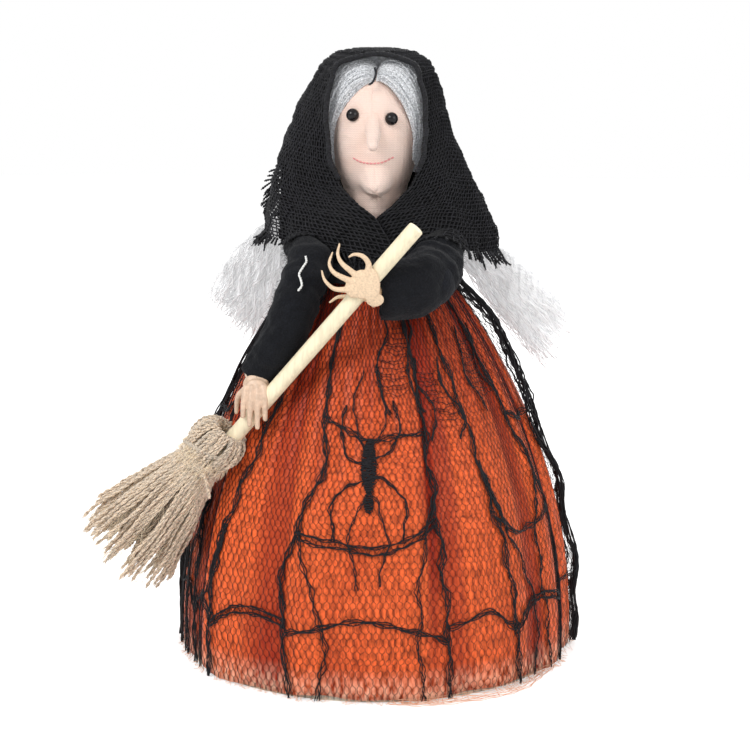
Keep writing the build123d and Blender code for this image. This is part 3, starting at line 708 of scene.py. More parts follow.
def web_line(points, strands=4, apart=0.28, seed=0, rungs=False):
    """A thick line of the web; with rungs, two rails and the stitches between them."""
    thread = sizes().web_thread / MM
    if not rungs:
        return each_tube(web_paths(points, strands, apart, seed), thread)
    points, rail = np.asarray(points, float), np.array([0, rail_gap])
    shapes = []
    for shift in (-1, 1):
        paths = web_paths(points + shift * rail, strands=3, apart=0.26, seed=seed + shift, wander=0.3)
        shapes += each_tube(paths, thread)
    count = len(web_paths(points, strands=1, apart=0, seed=seed)[0])
    upper = web_paths(points + rail, strands=1, apart=0, seed=seed + 1, count=count, wander=0.3)[0]
    lower = web_paths(points - rail, strands=1, apart=0, seed=seed + 2, count=count, wander=0.3)[0]
    zigzag = np.empty_like(upper)
    zigzag[0::2], zigzag[1::2] = upper[0::2], lower[1::2]
    return shapes + each_tube([zigzag], radius=thread * 0.8)


# Turn in degrees of each upright line of the web at the waist and at the hem; the face is at -90.
web_uprights = [
    (-121, -137), (-101, -108), (-70, -63), (-52, -40), (-28, -16), (-4, 6), (20, 31), (44, 54),
    (66, 78), (90, 101), (113, 123), (136, 148), (160, 172), (182, 192), (205, 211),
]
# Turn in degrees and height of each spider.
web_motifs = [(-86, 84), (42, 76), (160, 80)]
# Turn in degrees, top, drop and width in degrees of each bunched patch.
ladder_patches = [
    (-74, 134, 24, 15), (-58, 118, 18, 12), (-33, 128, 20, 13), (30, 124, 22, 14), (120, 126, 20, 14),
    (-140, 120, 18, 12),
]


def web_shapes():
    """Uprights with their forks, swags between them and three small spiders."""
    random = np.random.default_rng(11)
    shapes, uprights = [], []
    for i, (top, bottom) in enumerate(web_uprights):
        bend = random.uniform(-4, 4, 3)
        middle = (top + bottom) / 2 + bend[1]
        line = [(top, 149), (top + bend[0], 118), (middle, 86), (bottom + bend[2], 48), (bottom, 0.4)]
        uprights.append(line)
        shapes += web_line(line, strands=5, apart=0.36, seed=i)
        away = 10 if i % 2 else -9
        fork = random.uniform(58, 92)
        at_fork = upright_turn(line, fork)
        branch = [
            (at_fork, fork), (at_fork + 0.6 * away, fork - 24), (bottom + away, 27),
            (bottom + 0.85 * away, 0.6),
        ]
        shapes += web_line(branch, strands=3, apart=0.4, seed=i + 40)
        if i % 3 == 0:
            band = np.linspace((at_fork, fork), (at_fork + 0.5 * away, fork - 20), 5)
            shapes += web_line(band, seed=i + 70, rungs=True)
    for level, sag, chosen in ((25, -5, 1), (63, 6, 2), (101, 5, 3)):
        for i, line in enumerate(uprights):
            if (i + level) % chosen:
                continue
            after = uprights[(i + 1) % len(uprights)]
            left, right = level + random.uniform(-4, 4), level + random.uniform(-4, 4)
            first, last = upright_turn(line, left), upright_turn(after, right)
            last += 360 if last < first else 0
            swag = [
                (first, left), (first * 0.7 + last * 0.3, level - sag * 0.8),
                (first * 0.35 + last * 0.65, level - sag), (last, right),
            ]
            shapes += web_line(swag, strands=4, apart=0.4, seed=100 + i + level, rungs=(i + level) % 3 == 1)
    for i, (turn, height) in enumerate(web_motifs):
        shapes += spider(turn, height, 200 + 10 * i)
    return shapes + ladder_shapes()


def ladder_shapes():
    """Bunched patches of crossways stitches between neighbouring lines, high on the skirt."""
    random = np.random.default_rng(29)
    shapes = []
    thread = sizes().web_thread / MM * 0.62
    for turn, top, drop, wide in ladder_patches:
        for height in np.arange(top, top - drop, -1.5):
            sway = 3.0 * math.sin(height / 5.0)
            half = wide / 2 * random.uniform(0.55, 1.0)
            ends = [height + random.normal(0, 0.5), height + random.normal(0, 0.5)]
            line = [(turn + sway - half, ends[0]), (turn + sway, height - 0.8), (turn + sway + half, ends[1])]
            path = web_paths(line, strands=1, apart=0, seed=random.integers(999), wander=0.4)
            shapes += each_tube(path, thread, sides=3)
        for side in (-1, 1):
            heights = np.linspace(top + 5, top - drop - 6, 6)
            rail = [(turn + side * wide * 0.45 + 3.0 * math.sin(h / 5.0), h) for h in heights]
            shapes += web_line(rail, strands=3, apart=0.3, seed=int(random.integers(999)))
    return shapes


def upright_turn(line, height):
    """Where an upright stands at a height, in degrees."""
    turns, heights = np.array(line).T
    return np.interp(height, heights[::-1], turns[::-1])


def spider(turn, height, seed):
    """A common web spider: a wound body with eight legs, hanging from two threads."""
    shapes = []
    wide = plan_radius / skirt_radius(height) * 0.95
    coil = np.linspace(0, 1, 260)
    for half_length, half_width, middle, winds in ((9.5, 2.9, 2.0, 24), (3.6, 1.9, -10.5, 9)):
        sway = np.sin(coil * winds * FULL_TURN)
        belly = half_width * np.sqrt(np.clip(1 - (2 * coil - 1) ** 2, 0, 1)) * sway
        body = np.column_stack([turn + belly * wide, height + middle + half_length * (2 * coil - 1)])
        paths = web_paths(body, strands=2, apart=0.3, seed=seed, step=0.55, wander=0)
        shapes += each_tube(paths, sizes().web_thread / MM)
    legs = [
        [(0.8, 8), (5, 14), (6.5, 25), (3, 36)], [(1.5, 4), (8, 6), (11, 14), (9.5, 24)],
        [(1.2, -2), (7, -4), (11, -12), (10.5, -24)], [(0.6, -8), (3.5, -13), (5, -25), (3, -41)],
    ]
    for side in (-1, 1):
        for i, leg in enumerate(legs):
            line = [(turn + side * x * wide * (1 + 0.05 * i), height + z + side * 0.8) for x, z in leg]
            strands = 3 if i % 3 else 2
            shapes += web_line(line, strands, apart=0.25, seed=seed + i + 3 * side)
    return shapes


def seam_shapes():
    """The net bunched into ropes down both side seams."""
    shapes = []
    for turn, seed in ((1.5, 300), (184.5, 340)):
        for strand in range(11):
            lean = (strand % 3 - 1) * 1.6
            line = [
                (turn + lean * 0.4, 149), (turn - 2.5 + lean + 1.4 * math.sin(strand), 118),
                (turn - 5 - lean, 96), (turn - lean * 0.6, 70), (turn + 1.5 + lean, 44),
                (turn - 1 - lean, 22), (turn + lean * 1.4, 1.6),
            ]
            lift = 0.3 + 0.22 * strand
            shapes += each_tube(web_paths(line, strands=1, apart=0.0, seed=seed + strand, lift=lift), 0.3)
    return shapes


def hem_threads():
    """Pale threads on end all round the satin's raw edge, longest at the front left."""
    random = np.random.default_rng(21)
    count = 420
    turn = random.uniform(0, FULL_TURN, count)
    near = near_turn(turn + 0.85, width=0.45)
    reach = random.uniform(1.2, 3.2, count) + near * random.uniform(1.5, 5.5, count)
    t = np.linspace(0, 1, 5)[None, :]
    lean = random.normal(0, 0.03, count)[:, None]
    radius = satin_radius(turn, np.full(count, 1.5))[:, None] + 0.2 + reach[:, None] * 0.75 * t**1.3
    z = 1.9 - 1.55 * np.sqrt(t) + 0 * radius
    return tubes(round_skirt(radius, turn[:, None] + lean * t, z), radii=0.09, sides=3)


def drawn_threads():
    """Nine long threads drawn off the front left of the hem, lying round it one outside the other."""
    along = np.linspace(0, 1, 90)[None, :]
    row = np.arange(9)[:, None]
    first, last = -1.36 + 0.05 * np.sin(row * 2.2), -0.42 - 0.06 * np.sin(row * 1.7)
    turn = first + (last - first) * along
    swell = np.sin(math.pi * along) ** 0.6 * (0.75 * row + 0.35 * np.sin(along * 40 + row))
    z = 0.35 + 1.3 * np.exp(-row / 2.0) + 0.12 * np.sin(along * 60 + 2 * row)
    return tubes(round_skirt(satin_radius(turn, np.full(turn.shape, 1.5)) + 0.5 + swell, turn, z), 0.12, 3)


class PUPPET_OT_satin_skirt(bpy.types.Operator):
    """Make the gathered satin skirt and its frayed hem"""

    bl_idname = "puppet.satin_skirt"
    bl_label = "Satin skirt"

    def execute(self, context):
        around, rows, hem_height = 540, 76, 1.4
        up = np.linspace(0, 1, rows) ** 0.9
        turn, z = np.meshgrid(round_turn(around), hem_height + (skirt_height - 1.0) * up)
        wavy_hem = 0.7 * np.sin(7 * turn + 1) + 0.4 * np.sin(17 * turn)
        z = z + (wavy_hem * (1 - up)[:, None] ** 4)
        points = np.concatenate([round_skirt(satin_radius(turn, z), turn, z), self.heading(turn[0])])
        cloth = Shape(points, grid_quads(len(points), around, closed=True))
        skirt = cloth.piece("satin_skirt_cloth", satin_finish(colours().satin, colours().satin_painted_shade))
        # Painted shade for the satin, strongest in the fold valleys and middling over the gathered heading.
        low = np.clip(1 - z / skirt_height, 0, 1)
        crest = 0.62 * sizes().fold_depth / MM * (0.4 + 0.6 * low)
        shade = np.clip(1.1 - satin_folds(turn, low) / crest, 0, 1)
        shade = np.concatenate([shade, np.full((len(points) - rows, around), 0.6)])
        skirt.data.attributes.new("fold_shade", "FLOAT", "POINT").data.foreach_set("value", shade.ravel())
        thicken(skirt, 0.4)
        dress(skirt, "torso", "satin_skirt")
        fray = Shape.join([hem_threads(), drawn_threads()])
        peach = thread_finish("peach_thread", (0.86, 0.47, 0.30))
        dress(fray.piece("satin_hem_fray", peach), "torso")
        return {"FINISHED"}

    def heading(self, turn):
        """The gathered top: over the waist ring's rim and in across its face."""
        profile = [(0.75, 0.6), (0.8, 1.6), (0.6, 2.6), (0.3, 3.5), (-1.2, 3.95), (-4.0, 3.9), (-7.3, 3.7)]
        wave = pleats(turn)
        rows = []
        for out, up in profile:
            radius = waist_radius + out + 0.5 * wave * (0.4 if 1 < up < 3 else 1)
            rows.append(round_skirt(radius, turn, waist_top - 3 + up + 0.3 * wave * (up > 3.6)))
        return np.array(rows)


class PUPPET_OT_lace_overskirt(bpy.types.Operator):
    """Make the black net with its web pattern"""

    bl_idname = "puppet.lace_overskirt"
    bl_label = "Lace overskirt"

    def execute(self, context):
        thread = thread_finish("lace_thread", colours().lace, roughness=0.7)
        net = net_shape()
        shapes = {
            "lace_net_left": net.where(lambda middle: middle[:, 0] > 0),
            "lace_net_right": net.where(lambda middle: middle[:, 0] < 0),
            "lace_web": Shape.join(web_shapes()),
            "lace_seams": Shape.join(seam_shapes()),
        }
        pieces = [shape.piece(name, thread) for name, shape in shapes.items()]
        for piece in pieces:
            dress(piece, "torso", "lace_overskirt" if piece.name == "lace_web" else None)
        return {"FINISHED"}


# ---------------------------------------------------------------- head, face and hair
def on_front(piece, x, z, lift=0.0):
    """The point on a piece's front at x and z, this far off its surface."""
    hit, place, normal, _ = piece.ray_cast(Vector((x * MM, -0.08, z * MM)), Vector((0, 1, 0)))
    if not hit:
        raise RuntimeError(f"nothing of {piece.name} lies at {x}, {z}")
    return np.array(place) / MM + np.array(normal) * lift


def front_line(piece, ends, count, lift):
    """A path laid on a piece's front through (x, z) places."""
    line = smooth_path([[x, z, 0] for x, z in ends], count)
    return np.array([on_front(piece, x, z, lift) for x, z, _ in line])


def stitches(line, length, radius):
    """Short raised stitches along a line, with a gap after each."""
    shapes = []
    for first in range(0, len(line) - length, length + 1):
        run = line[first : first + length + 1]
        thick = radius * np.array([0.5, *[1.0] * (len(run) - 2), 0.5])
        shapes.append(tubes([run], thick, sides=6))
    return Shape.join(shapes)


class PUPPET_OT_head(bpy.types.Operator):
    """Make the stuffed jersey head with its nose, chin and stitched mouth"""

    bl_idname = "puppet.head"
    bl_label = "Head and face"

    def execute(self, context):
        z = head_centre[2]
        nose = [
            (0.9, -14.2, z + 11, 2.4), (1.2, -17.0, z + 6, 3.1), (1.7, -22.2, z + 1.8, 2.7),
            (2.0, -27.0, z - 0.8, 2.1),
        ]
        chin = [(1.5, -10.5, z - 13.0, 7.6), (1.9, -14.0, z - 15.2, 5.8), (2.2, -18.0, z - 17.0, 3.5)]
        neck = [(0, 0, z - 14, 12.9), (0, 0, z - 22, 12.8), (0, 0, z - 27, 12.7)]
        skull = ball(head_centre, head_half, 48, 72)
        body = Shape.join([skull, chain(nose), chain(chin), chain(neck, spacing=2.0)])
        jersey = knit_finish("pink_jersey", colours().skin)
        head = fused("head_jersey", body, voxel=0.5, smoothing=9, finish=jersey)
        points, normals = read_points(head, "co") / MM, read_points(head, "normal")
        for side in (-1, 1):
            socket = np.array([0.6 + side * 7.5, -15.5, z + 8.8])
            near = np.exp(-((np.linalg.norm(points - socket, axis=1) / 3.6) ** 2))
            points -= normals * (0.55 * near)[:, None]
        gather = points - np.array([1.8, -20.2, z - 19.5])
        near = np.exp(-((gather[:, 0] / 3.2) ** 2 + (gather[:, 2] / 2.6) ** 2)) * (points[:, 1] < -8)
        star = np.cos(7 * np.arctan2(gather[:, 2], gather[:, 0]) + 1)
        points -= normals * (near * (0.45 + 0.3 * star))[:, None]
        points += normals * (0.09 * ripple(points, scale=6.0, seed=31))[:, None]
        points[:, 2] = np.maximum(points[:, 2], neck_pivot[2] + 6.4)
        set_points(head, points)
        dress(head, "head", "head")
        context.view_layer.update()
        self.sew_face(head, z)
        return {"FINISHED"}

    def sew_face(self, head, z):
        """The mouth, the centre seam and the gathered chin, in thread."""
        lips = [
            (-6.8, z - 5.9), (-3.6, z - 7.4), (0.7, z - 8.0), (4.6, z - 7.5), (8.1, z - 5.9), (9.6, z - 4.9)
        ]
        rose = thread_finish("rose_cotton", (0.76, 0.30, 0.30), roughness=0.6)
        mouth = stitches(front_line(head, lips, count=64, lift=0.12), length=4, radius=0.34)
        dress(mouth.piece("mouth_stitches", rose), "head", "mouth_thread")
        high = front_line(head, [(0.3, z + 21.5), (0.4, z + 14), (0.7, z + 9)], count=50, lift=0.05)
        low = front_line(head, [(1.4, z - 9.5), (1.7, z - 12.5), (2.1, z - 15.5)], count=24, lift=0.05)
        shapes = [stitches(high, length=2, radius=0.17), stitches(low, length=2, radius=0.17)]
        gather_x, gather_z = 1.8, z - 19.3
        for dx, dz, length in ((-0.9, 0.4, 1.6), (0.2, 1.0, 1.7), (0.9, -0.1, 1.3), (-0.1, -1.0, 1.6)):
            ends = [(gather_x + dx, gather_z + dz), (gather_x + dx * 1.5, gather_z - length * 0.6 + dz)]
            shapes.append(tubes([front_line(head, ends, count=6, lift=0.1)], radii=0.15, sides=5))
        pink = thread_finish("pink_cotton", (0.86, 0.63, 0.56), roughness=0.6)
        seam = Shape.join(shapes).piece("face_seam_stitches", pink)
        dress(seam, "head", "face_seam")


def hair_line(side, back, lift, wander, count=30):
    """One strand from the parting to the temple; back is 0 at the hairline and 1 under the hood."""
    lift = lift * (1.5 if side > 0 else 1.0)
    start = unit(np.array([0.035 * side, -0.53 + 0.62 * back, 0.85]))
    inward = 0.50 if side < 0 else 0.56
    middle = unit(np.array([side * (inward + 0.22 * back), -0.60 + 0.54 * back, 0.58]))
    temple = unit(np.array([side * 0.90, -0.42 + 0.46 * back, 0.14]))
    end = unit(np.array([side * 0.97, -0.30 + 0.42 * back, -0.26 - 0.12 * back]))
    way = smooth_path([start, middle, temple, end], count)
    along = np.linspace(0, 1, count)
    size = head_half + lift * np.sin(math.pi * np.clip(along * 1.15, 0, 1) ** 0.6)[:, None] + 0.35
    line = unit(way) * size + head_centre
    line[:, 0] += 1.3 * (1 - along) ** 2
    crest = np.exp(-(((along - 0.26) / 0.2) ** 2))
    swell = 3.0 * np.sin(math.pi * np.clip(along * 0.85 + 0.12, 0, 1))
    puff = back**0.6 * (swell + (0.8 if side > 0 else 2.6) * crest)
    line += unit(line - head_centre) * [1.1, 0.2, 0.9] * puff[:, None]
    return line + wander * np.sin(along * 9 + wander * 40)[:, None] * np.array([0.3, 0.2, 0.4])


class PUPPET_OT_front_hair(bpy.types.Operator):
    """Make the grey hair parted in the middle"""

    bl_idname = "puppet.front_hair"
    bl_label = "Front hair"

    def execute(self, context):
        random = np.random.default_rng(5)
        hair = colours().hair
        # The grey hair glows faintly in its own colour: painted light.
        grey = yarn_finish("grey_hair", hair, shaded(hair, 0.36), size_mm=0.7, sheen=0.4, glow=0.04)
        # A darker yarn for the sheet under the strands: painted shade in the gaps between them.
        shade = yarn_finish("hair_painted_shade", shaded(hair, 0.42), shaded(hair, 0.22), size_mm=0.8)
        count, shell_lines = sizes().front_strands, 24
        for name, side in (("right", -1), ("left", 1)):
            back = np.sort(random.uniform(0, 1, count))
            back[:14] = np.linspace(0, 0.05, 14)
            layer = random.uniform(0.1, 2.9, count)
            paths = [
                hair_line(side, b, lift=0.25 + up, wander=random.normal(0, 0.8)) for b, up in zip(back, layer)
            ]
            locks = plied(paths, ply_radius=0.27, lay=2.3, sides=4).piece(f"front_hair_{name}", grey)
            dress(locks, "head", f"hair_front_{name}")
            # The sheet under the strands, which carries the painted shade between them.
            lines = [hair_line(side, b, lift=0.35, wander=0.0) for b in np.linspace(0.015, 1, shell_lines)]
            shell = Shape(np.array(lines)[:, :shell_lines], grid_quads(shell_lines, shell_lines))
            dress(shell.piece(f"hair_painted_shade_{name}", shade), "head")
        z = head_centre[2]
        line = [
            (0.9, -9.5, z + 28.2), (1.6, -12.4, z + 25.6), (0.6, -14.3, z + 22.6), (-0.9, -15.1, z + 21.6)
        ]
        cotton = thread_finish("black_cotton", (0.02, 0.02, 0.025))
        stitch = plied([smooth_path(line, 30)], ply_radius=0.26, lay=1.8)
        dress(stitch.piece("parting_stitch", cotton), "head")
        return {"FINISHED"}


class PUPPET_OT_tresses(bpy.types.Operator):
    """Make the two long white locks behind the shoulders"""

    bl_idname = "puppet.tresses"
    bl_label = "White tresses"

    def execute(self, context):
        random = np.random.default_rng(8)
        # The white mohair glows as painted light; its darker streaks are partly the strands' own tone, partly
        # painted shade between them.
        white = yarn_finish(
            "white_mohair", colours().mohair, shaded(colours().mohair, 0.5), size_mm=1.6, sheen=1.0,
            glow=0.25, along=(1, 1, 0.12),
        )
        roots = {"right": [(-24, 15, 172), (-37, 9, 171)], "left": [(24, 15, 170), (37, 9, 168)]}
        bends = {"right": [(-33, 13, 154), (-56, 3, 164)], "left": [(33, 13, 151), (53, 3, 157)]}
        tips = {"right": [(-48, 12, 125), (-66, 2, 140)], "left": [(65, 12, 115), (75, 2, 138)]}
        count, locks, curls = sizes().tress_strands, 13, 3.25
        t = np.linspace(0, 1, 26)[None, :, None]
        for name in ("right", "left"):
            across = random.beta(1.25, 1.25, count)[:, None]
            lock = np.floor(across * locks + random.normal(0, 0.35, (count, 1)))
            knots = []
            for places, spread in ((roots[name], 0.9), (bends[name], 1.5), (tips[name], 2.1)):
                inner, outer = np.array(places, float)
                clumped = across + 0.8 * ((lock + 0.5) / locks - across) * spread / 2
                stray = random.normal(0, spread, (count, 3)) * [0.6, 0.9, 0.6]
                knots.append(inner + (outer - inner) * clumped + stray)
            reach = (0.80 + 0.24 * np.sin(lock * 2.1) ** 2 + random.normal(0, 0.05, (count, 1)))[:, None] * t
            start, middle, end = (k[:, None] for k in knots)
            paths = (1 - reach) ** 2 * start + 2 * reach * (1 - reach) * middle + reach**2 * end
            phase = random.uniform(0, FULL_TURN, (count, 1, 3)) * 0.5
            phase = phase + lock[:, None] * np.array([1.7, 2.9, 0.6])
            curl = random.uniform(0.4, 1.7, (count, 1, 1)) * t**0.6
            paths = paths + curl * np.sin(t * curls * FULL_TURN + phase)
            piece = tubes(paths, radii=0.21, sides=3, caps=False).piece(f"tress_{name}", white)
            dress(piece, "torso", f"hair_tress_{name}")
        return {"FINISHED"}


# ---------------------------------------------------------------- sleeves and hands
# Each arm's line: x, y, z, then half width and half height of the sleeve about it.
arm_lines = {
    "right": [
        (-22.9, 0, 161.5, 5.6, 5.6), (-29.3, -0.5, 161.5, 5.9, 5.7), (-28.8, -9, 161, 6.1, 6.1),
        (-21.8, -29, 158, 8.4, 8.0), (-24.6, -39, 147, 8.8, 8.8), (-29.4, -45.5, 132, 8.6, 8.4),
        (-40.2, -43.8, 115.4, 6.8, 6.9),
    ],
    "left": [
        (22.9, 0, 161.5, 5.6, 5.6), (29.3, -0.5, 161.5, 5.8, 5.7), (29.3, -8, 161.2, 6.2, 6.2),
        (28.0, -18, 160, 8.2, 8.6), (25.4, -31, 154.5, 10.9, 11.6), (20.2, -42, 150.6, 10.4, 12.2),
        (12.6, -47.6, 149.2, 9.2, 11.8), (6.9, -48.7, 148.8, 8.2, 11.2),
    ],
}


def sleeve_rings(line, count, sides):
    """Rings of points along a sleeve, with the outward direction of each point and its place along."""
    rows = smooth_path(line, count)
    path, half = rows[:, :3], rows[:, 3:]
    tangent, sideways, upward = (frame_part[0] for frame_part in path_frames(path[None]))
    turn = round_turn(sides)
    out = np.cos(turn)[None, :, None] * sideways[:, None] * half[:, None, :1]
    out = out + np.sin(turn)[None, :, None] * upward[:, None] * half[:, None, 1:]
    return path, out, tangent


class PUPPET_OT_sleeves(bpy.types.Operator):
    """Make the two felt sleeves with their cut cuffs and loose fibres"""

    bl_idname = "puppet.sleeves"
    bl_label = "Felt sleeves"

    def execute(self, context):
        felt = felt_finish("black_wool_felt", colours().felt)
        fuzz = thread_finish("felt_fibre", shaded(colours().felt, 1.5), roughness=0.95)
        for name, line in arm_lines.items():
            rows, sides, cuff_wall = 150, 96, 1.55
            path, out, tangent = sleeve_rings(line, rows, sides)
            place = path[:, None] + out
            along = np.linspace(0, 1, rows)[:, None]
            bend = np.exp(-(((along - 0.52) / 0.16) ** 2))
            crease = 0.30 * ripple(place, scale=13, seed=41) + 0.12 * ripple(place, scale=4.2, seed=42)
            wrinkle = np.sin(along * 62 + 0.8 * np.sin(3 * np.linspace(0, FULL_TURN, sides))[None])
            crease = crease + bend * 0.55 * wrinkle
            crease = crease * smooth_step(0.04, 0.14, along) * (1 - 0.5 * smooth_step(0.93, 1, along)) - 0.25
            wall = place + unit(out) * crease[..., None]
            edge = 0.35 * ripple(place[-1], scale=5, seed=43)[:, None]
            wall[-1] += edge * tangent[-1]
            turned_in = range(rows - 1, rows - 22, -3)
            inner = [path[row] + out[row] - unit(out[row]) * cuff_wall for row in turned_in]
            inner[0] = inner[0] + edge * tangent[-1]
            rings = np.concatenate([wall, np.array(inner)])
            points = np.vstack([rings.reshape(-1, 3), path[0], path[rows - 19]])
            start, end = len(points) - 2, len(points) - 1
            tris = np.vstack([fan(start, 0, sides)[:, [0, 2, 1]], fan(end, (len(rings) - 1) * sides, sides)])
            sleeve = Shape(points, grid_quads(len(rings), sides, closed=True), tris)
            sleeve = sleeve.piece(f"felt_sleeve_{name}", felt)
            dress(sleeve, f"{name}_arm", f"sleeve_{name}")
            fibres = self.fibres(wall, unit(out), seed=50 if name == "right" else 60)
            dress(fibres.piece(f"sleeve_fuzz_{name}", fuzz), f"{name}_arm")
        return {"FINISHED"}

    def fibres(self, wall, outward, seed):
        """Short curling hairs standing off the felt."""
        random = np.random.default_rng(seed)
        count = sizes().felt_hairs
        row, column = random.integers(10, wall.shape[0], count), random.integers(0, wall.shape[1], count)
        root, normal = wall[row, column], outward[row, column]
        lean = random.normal(0, 0.8, (count, 3))
        t = np.linspace(0, 1, 5)[None, :, None]
        length = random.uniform(0.5, 1.5, (count, 1, 1))
        paths = root[:, None] + length * (normal[:, None] * (t - 0.35 * t**2) + lean[:, None] * t**1.6 * 0.8)
        return tubes(paths, radii=0.045, sides=3, caps=False)


def finger(base, tip, *points):
    """A tapering finger through (x, y, z) points, from its base's radius to its tip's."""
    return chain(np.column_stack([points, np.linspace(base, tip, len(points))]), spacing=0.3)


# Each hand's palm and wrist as eggs: centre, half sizes, then rings and segments.
palms = {
    "left": [
        ((5.0, -61.2, 152.6), (3.4, 1.2, 6.4), 14, 20),
        ((1.6, -61.2, 153.0), (4.2, 1.2, 5.4), 14, 20),
        ((-1.4, -61.2, 151.6), (3.2, 1.1, 3.6), 14, 20),
        ((5.6, -58.2, 148.4), (1.7, 3.2, 4.2), 14, 20),
        ((8.2, -53.8, 149.2), (3.0, 2.8, 3.6), 14, 20),
        ((11.5, -50.5, 148.6), (4.6, 2.6, 5.2), 14, 20),
        ((6.3, -60.4, 147.4), (3.4, 1.1, 2.6), 12, 16),
    ],
    "right": [
        ((-39.2, -51.6, 110.6), (5.3, 1.7, 5.2), 14, 20),
        ((-39.6, -49.2, 113.2), (5.0, 2.4, 4.4), 14, 20),
        ((-39.6, -46.4, 117.5), (4.9, 3.0, 5.0), 14, 20),
    ],
}
# Each finger, thumb last: radius at its base and tip, then the points it runs through.
fingers = {
    "left": [
        (
            1.35, 0.42, (3.6, -61.1, 156.5), (4.1, -61.3, 160.4), (2.2, -61.8, 163.2), (-1.0, -61.6, 163.9),
            (-3.0, -61.2, 162.9),
        ),
        (
            1.35, 0.4, (0.6, -61.2, 155.5), (-2.4, -61.5, 157.9), (-5.6, -62.0, 160.8), (-7.0, -61.8, 164.0),
            (-6.4, -61.4, 167.6),
        ),
        (
            1.3, 0.4, (-1.2, -61.2, 153.8), (-5.2, -61.5, 155.4), (-8.6, -62.0, 157.5), (-10.1, -61.8, 160.6),
            (-9.0, -61.4, 164.4),
        ),
        (
            1.25, 0.4, (-1.6, -61.1, 151.2), (-5.4, -61.4, 151.0), (-8.8, -61.9, 151.6),
            (-11.8, -61.8, 154.5), (-12.9, -61.4, 157.8),
        ),
        (
            1.5, 0.45, (4.5, -59.0, 147.6), (1.0, -54.0, 147.2), (-4.2, -53.0, 147.3), (-8.0, -53.2, 147.2),
            (-11.0, -53.6, 145.3),
        ),
    ],
    "right": [
        (1.6, 1.0, (-42.6, -51.9, 112.5), (-43.4, -53.8, 107.6), (-43.8, -54.2, 102.2)),
        (1.65, 0.95, (-40.5, -52.2, 112.5), (-40.9, -54.5, 106.6), (-41.2, -55.2, 99.2)),
        (1.65, 0.95, (-38.3, -52.2, 112.5), (-38.2, -54.6, 106.8), (-38.2, -55.4, 98.2)),
        (1.6, 0.95, (-36.2, -51.9, 112.8), (-35.6, -54.2, 107.8), (-35.3, -55.0, 101.4)),
        (1.6, 0.8, (-43.2, -50.6, 111.6), (-46.4, -49.4, 108.4), (-47.4, -48.4, 102.4)),
    ],
}


class PUPPET_OT_hands(bpy.types.Operator):
    """Make the two cut hands that hold the broom"""

    bl_idname = "puppet.hands"
    bl_label = "Hands"

    def execute(self, context):
        tan = plain_finish("hand_felt_tan", colours().hand, roughness=0.75, grain_mm=0.7)
        cream = plain_finish("hand_felt_cream", (0.66, 0.47, 0.34), roughness=0.4, grain_mm=1.6)
        for name, finish in (("left", tan), ("right", cream)):
            shapes = [ball(*egg) for egg in palms[name]]
            shapes += [finger(*row) for row in fingers[name]]
            hand = fused(f"cut_hand_{name}", Shape.join(shapes), voxel=0.27, smoothing=5, finish=finish)
            dress(hand, f"{name}_arm", f"hand_{name}")
        return {"FINISHED"}


# ---------------------------------------------------------------- broom
stick_way = np.array([-0.650841, 0.107349, -0.751586])
binding_centre = np.array([-61.7, -47.1, 83.1])


def about_stick(along, radius, turn):
    """Points measured from the binding: along the stick, out from it and round it."""
    side = unit(np.cross(stick_way, [0, 0, 1.0]))
    front = np.cross(stick_way, side)
    along, radius, turn = np.broadcast_arrays(along, radius, turn)
    out = np.cos(turn)[..., None] * side + np.sin(turn)[..., None] * front
    return binding_centre + along[..., None] * stick_way + radius[..., None] * out


def uneven_turns(random, count):
    """One turn for each strand, spaced a little unevenly."""
    return (np.arange(count) + random.uniform(-0.4, 0.4, count))[:, None] * FULL_TURN / count


